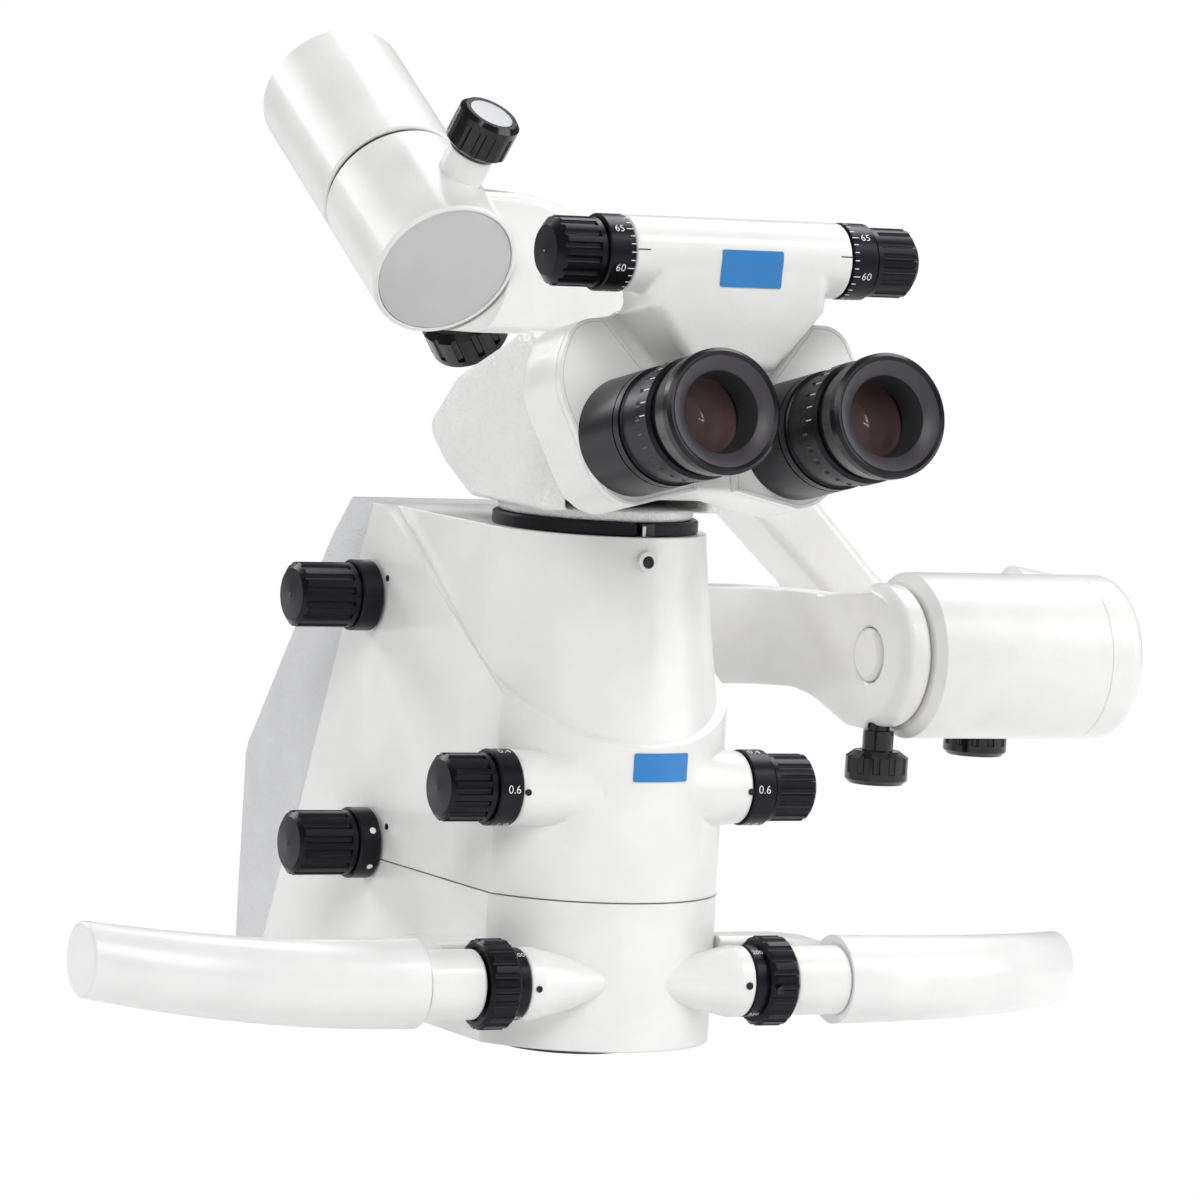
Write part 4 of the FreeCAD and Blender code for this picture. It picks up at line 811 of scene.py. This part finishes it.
@dataclass
class BlankPlates:
    """Two plain blue plates that follow the surface under them.

    Args:
        rows: Name, middle (X and Z), width, height, CAD node under it and body, in millimetres.
        start_y: Depth from which the flat plates are pressed back, in metres.
        fields: Into how many fields a plate is cut along its width and its height.
    """

    rows: tuple = (
        ("block_plate", 2.4, 275.6, 23.2, 12.4, "binocular_head", "binocular"),
        ("body_plate", 4.5, 102.8, 21.6, 9.8, "upper_housing", "head"),
    )
    start_y: float = -0.12
    fields: tuple[int, int] = (12, 8)

    def build(self, frame: dict) -> list[bpy.types.Object]:
        """Build both plates.


        Returns:
            The pieces.
        """
        made = []
        for name, x, z, width, high, node, body in self.rows:
            alone()
            bpy.ops.mesh.primitive_plane_add(
                size=1.0, location=(x * MM, self.start_y, z * MM), rotation=(math.pi / 2.0, 0.0, 0.0)
            )
            piece = bpy.context.object
            piece.name = name
            piece.scale = (width * MM, high * MM, 1.0)
            settle(piece)
            pick(piece, lambda face: True)
            bpy.ops.mesh.bevel(affect="VERTICES", offset=0.7 * MM, segments=3)
            across, up = self.fields
            for part in range(1, across):
                bpy.ops.mesh.select_all(action="SELECT")
                where = (x + width * (part / across - 0.5)) * MM
                bpy.ops.mesh.bisect(plane_co=(where, 0.0, 0.0), plane_no=(1.0, 0.0, 0.0))
            for part in range(1, up):
                bpy.ops.mesh.select_all(action="SELECT")
                where = (z + high * (part / up - 0.5)) * MM
                bpy.ops.mesh.bisect(plane_co=(0.0, 0.0, where), plane_no=(0.0, 0.0, 1.0))
            bpy.ops.object.mode_set(mode="OBJECT")
            lay = piece.modifiers.new("lay", "SHRINKWRAP")
            lay.target = frame["nodes"][node]
            lay.wrap_method = "PROJECT"
            lay.use_project_x = False
            lay.use_project_y = True
            lay.use_positive_direction = True
            lay.offset = 0.02 * MM
            bpy.ops.object.modifier_apply(modifier=lay.name)
            sheet = piece.modifiers.new("sheet", "SOLIDIFY")
            sheet.thickness = 0.3 * MM
            sheet.offset = 1.0
            bpy.ops.object.modifier_apply(modifier=sheet.name)
            made.append(dress(piece, PLATE, body))
        return made


@dataclass
class Eyepieces:
    """Dioptre marks, eyecup lips and the fine edge lines of the eyepiece carriers.

    Args:
        eye_half: Distance of an eyepiece from the middle, in millimetres.
        ring: Radius of the dioptre ring, in millimetres.
        marks_fore: Distance of the marks along the axis from the head, in millimetres.
        lip: Inner and outer end of the lip, then its radius at each, in millimetres.
        baffle: The same for the dark wall between the lip and the lens.
    """

    eye_half: float = 31.2
    ring: float = 20.6
    marks_fore: float = 47.2
    lip: tuple = ((62.6, 65.2), (14.0, 18.8))
    baffle: tuple = ((51.6, 62.5), (12.6, 14.2))

    def build(self, frame: dict) -> list[bpy.types.Object]:
        """Build the small pieces of both eyepieces.


        Returns:
            The pieces.
        """
        made = []
        for sign, side in ((-1, "left"), (1, "right")):
            axis_foot = LOOK_ROOT + X_AXIS * (sign * self.eye_half)
            made.append(dress(self._dioptre(axis_foot, side), INK, f"dioptre_{side}"))
            lip = self._funnel(f"eyecup_lip_{side}", axis_foot, *self.lip)
            made.append(dress(lip, LIP, f"cup_{side}"))
            baffle = self._funnel(f"eyecup_baffle_{side}", axis_foot, *self.baffle)
            made.append(dress(baffle, INNER, f"cup_{side}"))
            made.append(dress(self._edge(frame["nodes"][f"eye_carrier_{side}"], side), EDGE, f"eyepiece_{side}"))
        return made

    def _dioptre(self, foot: Vector, side: str) -> bpy.types.Object:
        """Ticks over the top half of the ring, between a plus and a minus."""
        parts = []
        for step in range(7):
            for sign in (-1, 1):
                parts.append(stroke(3.3, 0.34, 0.0, at_angle(self.ring, sign * (14.0 + 12.5 * step))))
        parts.append(stroke(1.7, 0.34, 0.0, at_angle(self.ring, -4.6)))
        parts.append(stroke(0.34, 1.7, 0.0, at_angle(self.ring, -4.6)))
        parts.append(spot(0.42, 0.0, at_angle(self.ring, 0.6)))
        parts.append(stroke(0.34, 1.7, 0.0, at_angle(self.ring, 5.8)))
        rim = Rim(foot + LOOK * self.marks_fore, LOOK, LOOK_UP, self.ring)
        return rim.wrap(together(parts, f"dioptre_marks_{side}"))

    def _funnel(
        self, name: str, foot: Vector, fore: tuple[float, float], radii: tuple[float, float]
    ) -> bpy.types.Object:
        """Model a thin round funnel that looks out of the eyecup.

        Args:
            name: Name of the piece.
            foot: Point on the axis, at the head.
            fore: Distance of the inner and the outer end.
            radii: Radius at the inner and the outer end.

        Returns:
            The funnel with its wall.
        """
        alone()
        bpy.ops.mesh.primitive_cone_add(
            vertices=72, radius1=radii[0] * MM, radius2=radii[1] * MM, depth=(fore[1] - fore[0]) * MM,
            end_fill_type="NOTHING", location=(foot + LOOK * (sum(fore) / 2.0)) * MM, rotation=turned_to(LOOK),
        )
        piece = bpy.context.object
        piece.name = name
        settle(piece)
        pick(piece, lambda face: True)
        bpy.ops.mesh.normals_make_consistent(inside=False)
        bpy.ops.object.mode_set(mode="OBJECT")
        for kind, amount in (("SOLIDIFY", 0.7), ("BEVEL", 0.2)):
            step = piece.modifiers.new(kind.lower(), kind)
            if kind == "SOLIDIFY":
                step.thickness = amount * MM
                step.offset = 1.0
            else:
                step.width = amount * MM
                step.segments = 2
            bpy.ops.object.modifier_apply(modifier=step.name)
        return piece

    def _edge(self, node: bpy.types.Object, side: str) -> bpy.types.Object:
        """Fine raised line just inside the outline of a carrier plate."""
        piece = copy_of(node, f"carrier_edge_{side}")
        front = max(LOOK.dot(v.co) for v in piece.data.vertices if abs(v.co.x) > 0.0535)
        pick(piece, lambda face: not (face.normal.dot(LOOK) > 0.999 and abs(LOOK.dot(face.center) - front) < 0.0002))
        bpy.ops.mesh.delete(type="FACE")
        bpy.ops.mesh.select_all(action="SELECT")
        bpy.ops.mesh.dissolve_limited(angle_limit=math.radians(0.5))
        bpy.ops.mesh.select_all(action="SELECT")
        bpy.ops.mesh.inset(thickness=1.0 * MM)
        bpy.ops.mesh.select_all(action="INVERT")
        bpy.ops.mesh.delete(type="FACE")
        bpy.ops.mesh.select_all(action="SELECT")
        bpy.ops.mesh.inset(thickness=0.35 * MM)
        bpy.ops.mesh.delete(type="FACE")
        bpy.ops.mesh.select_all(action="SELECT")
        bpy.ops.mesh.extrude_region_move(TRANSFORM_OT_translate={"value": tuple(LOOK * 0.15 * MM)})
        bpy.ops.mesh.select_all(action="SELECT")
        bpy.ops.mesh.normals_make_consistent(inside=False)
        bpy.ops.object.mode_set(mode="OBJECT")
        return piece


@dataclass
class RingIndex:
    """Dark strips of painted shade for the notch, and a white tooth, on the front of the turning ring.

    Args:
        radius: Radius of the ring, in millimetres.
        middle: Height of its middle, in millimetres.
        high: Height of the notch, in millimetres.
    """

    radius: float = 35.6
    middle: float = 182.3
    high: float = 4.2

    def build(self, frame: dict) -> list[bpy.types.Object]:
        """Build the notch and its tooth.


        Returns:
            The pieces.
        """
        rim = Rim(Vector((0.0, 0.0, self.middle)), UPRIGHT, TO_FRONT, self.radius, around=True)
        # painted shade: dark strips stand proud where the recess of the notch would be
        notch = rim.wrap(together([stroke(1.25, self.high, n * 1.25, 0.0, 0.1) for n in range(4)], "ring_notch_painted_shade"))
        tooth = rim.wrap(together([stroke(1.1, self.high * 0.8, 0.1, -0.3, 0.45)], "ring_tooth"))
        return [dress(notch, SEAM_AND_SHADE, "binocular_turn"), dress(tooth, INK, "binocular_turn")]


@dataclass
class SoftCastings:
    """Cast shells whose edges are rounded further than the CAD model has them.

    Args:
        rows: CAD node, its body, grain of the rounding in millimetres, passes and finish.
        cheek_start: Distance from the middle beyond which the base is rounded strongly, in millimetres.
        cheek_foot: Height at which that rounding starts, in millimetres.
        cheek_fade: Height over which it grows to its full strength, in millimetres.
        hinge: Depth and height of the hinge axis, in millimetres.
    """

    rows: tuple = (
        ("binocular_base", "binocular_turn", 0.75, 8, HIDE),
        ("tilt_bracket", "head", 0.9, 8, PAINT),
        ("binocular_head", "binocular", 0.75, 5, PAINT),
    )
    cheek_start: float = 26.5
    cheek_foot: float = 191.0
    cheek_fade: float = 5.0
    hinge: tuple[float, float] = (0.0, 214.0)

    def build(self, frame: dict) -> list[bpy.types.Object]:
        """Build a rounded shell for each row, in place of its CAD node.


        Returns:
            The pieces.
        """
        made = []
        for name, body, grain, passes, finish in self.rows:
            node = frame["nodes"][name]
            piece = copy_of(node, f"{name}_shell")
            if finish is HIDE:
                self._close_hinge(piece)
            skin = piece.modifiers.new("skin", "REMESH")
            skin.mode = "VOXEL"
            skin.voxel_size = grain * MM
            bpy.ops.object.modifier_apply(modifier=skin.name)
            ease = piece.modifiers.new("ease", "SMOOTH")
            ease.factor = 0.5
            ease.iterations = passes
            bpy.ops.object.modifier_apply(modifier=ease.name)
            if finish is HIDE:
                self._round_cheeks(piece)
            dress(piece, finish, body)
            alone(piece)
            bpy.ops.object.shade_smooth()
            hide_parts(name)
            made.append(piece)
        return made

    def _close_hinge(self, piece: bpy.types.Object) -> None:
        """Close the outer ends of the hinge bores, which are blind on the outside.

        Args:
            piece: Copy of the base.
        """
        plugs = []
        for sign in (-1, 1):
            alone()
            bpy.ops.mesh.primitive_cylinder_add(
                vertices=48, radius=6.2 * MM, depth=3.6 * MM, rotation=(0.0, math.pi / 2.0, 0.0),
                location=(sign * 35.1 * MM, self.hinge[0] * MM, self.hinge[1] * MM),
            )
            plugs.append(settle(bpy.context.object))
        together([piece, *plugs], piece.name)

    def _round_cheeks(self, piece: bpy.types.Object) -> None:
        """Round the two cheeks of the base far more than the rest of it.

        Args:
            piece: Shell of the base.
        """
        cheeks = piece.vertex_groups.new(name="cheeks")
        for vertex in piece.data.vertices:
            x, _, z = vertex.co / MM
            weight = min(1.0, max(0.0, (z - self.cheek_foot) / self.cheek_fade))
            if weight > 0.0 and abs(x) > self.cheek_start:
                cheeks.add([vertex.index], weight, "REPLACE")
        ease = piece.modifiers.new("cheek_ease", "SMOOTH")
        ease.factor = 0.5
        ease.iterations = 70
        ease.vertex_group = cheeks.name
        bpy.ops.object.modifier_apply(modifier=ease.name)


@dataclass
class UpperShell:
    """Upper housing with its flanks flush where the neck runs into them.

    Args:
        half: Half width of the body.
        low: Height of the foot of the neck.
        high: Height up to which the neck stands out of the flank.
        neck_front: Depth before which the neck is left as it is.
        tip: Distance of the tips of the knob bosses from the middle.
        tip_low: Height of the foot of those bosses.
        tip_high: Height of their top.
        nose_y: Depth before which their tips stand out of the front.
        nose_r: Radius of the rounded front.
        nose_back: How far the middle of that radius lies before the light path.
    """

    half: float = 44.0
    low: float = 109.0
    high: float = 136.0
    neck_front: float = -21.0
    tip: float = 16.0
    tip_low: float = 80.0
    tip_high: float = 108.0
    nose_y: float = -44.0
    nose_r: float = 48.0
    nose_back: float = 3.0

    def build(self, frame: dict) -> list[bpy.types.Object]:
        """Build the shell in place of its CAD node.


        Returns:
            The piece.
        """
        piece = copy_of(frame["nodes"]["upper_housing"], "upper_housing_shell")
        limit = self.half * MM
        front = -(self.nose_back + math.sqrt(self.nose_r**2 - self.tip**2)) * MM
        for vertex in piece.data.vertices:
            x, y, z = vertex.co
            if abs(x) > limit and y > self.neck_front * MM and self.low * MM < z < self.high * MM:
                vertex.co.x = math.copysign(limit, x)
            at_tip = abs(abs(x) - self.tip * MM) < 0.1 * MM and self.tip_low * MM < z < self.tip_high * MM
            if at_tip and y < self.nose_y * MM:
                vertex.co.y = max(y, front)
        pick(piece, lambda face: True)
        bpy.ops.mesh.remove_doubles(threshold=0.000005)
        bpy.ops.mesh.dissolve_degenerate(threshold=0.000005)
        bpy.ops.object.mode_set(mode="OBJECT")
        dress(piece, PAINT, "head")
        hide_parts("upper_housing")
        return [piece]


def main() -> None:
    """Build the looks on top of the CAD frame."""
    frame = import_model()
    bpy.context.scene.view_settings.view_transform = "Standard"
    lay_finishes(frame)
    groups = (
        UpperShell(), SoftCastings(), Dials(), Screws(), LockInlays(), BlankPlates(), Eyepieces(), RingIndex(),
    )
    for group in groups:
        for piece in group.build(frame):
            log.info("%s: %d faces", piece.name, len(piece.data.polygons))
    Studio().build()


if __name__ == "__main__":
    main()
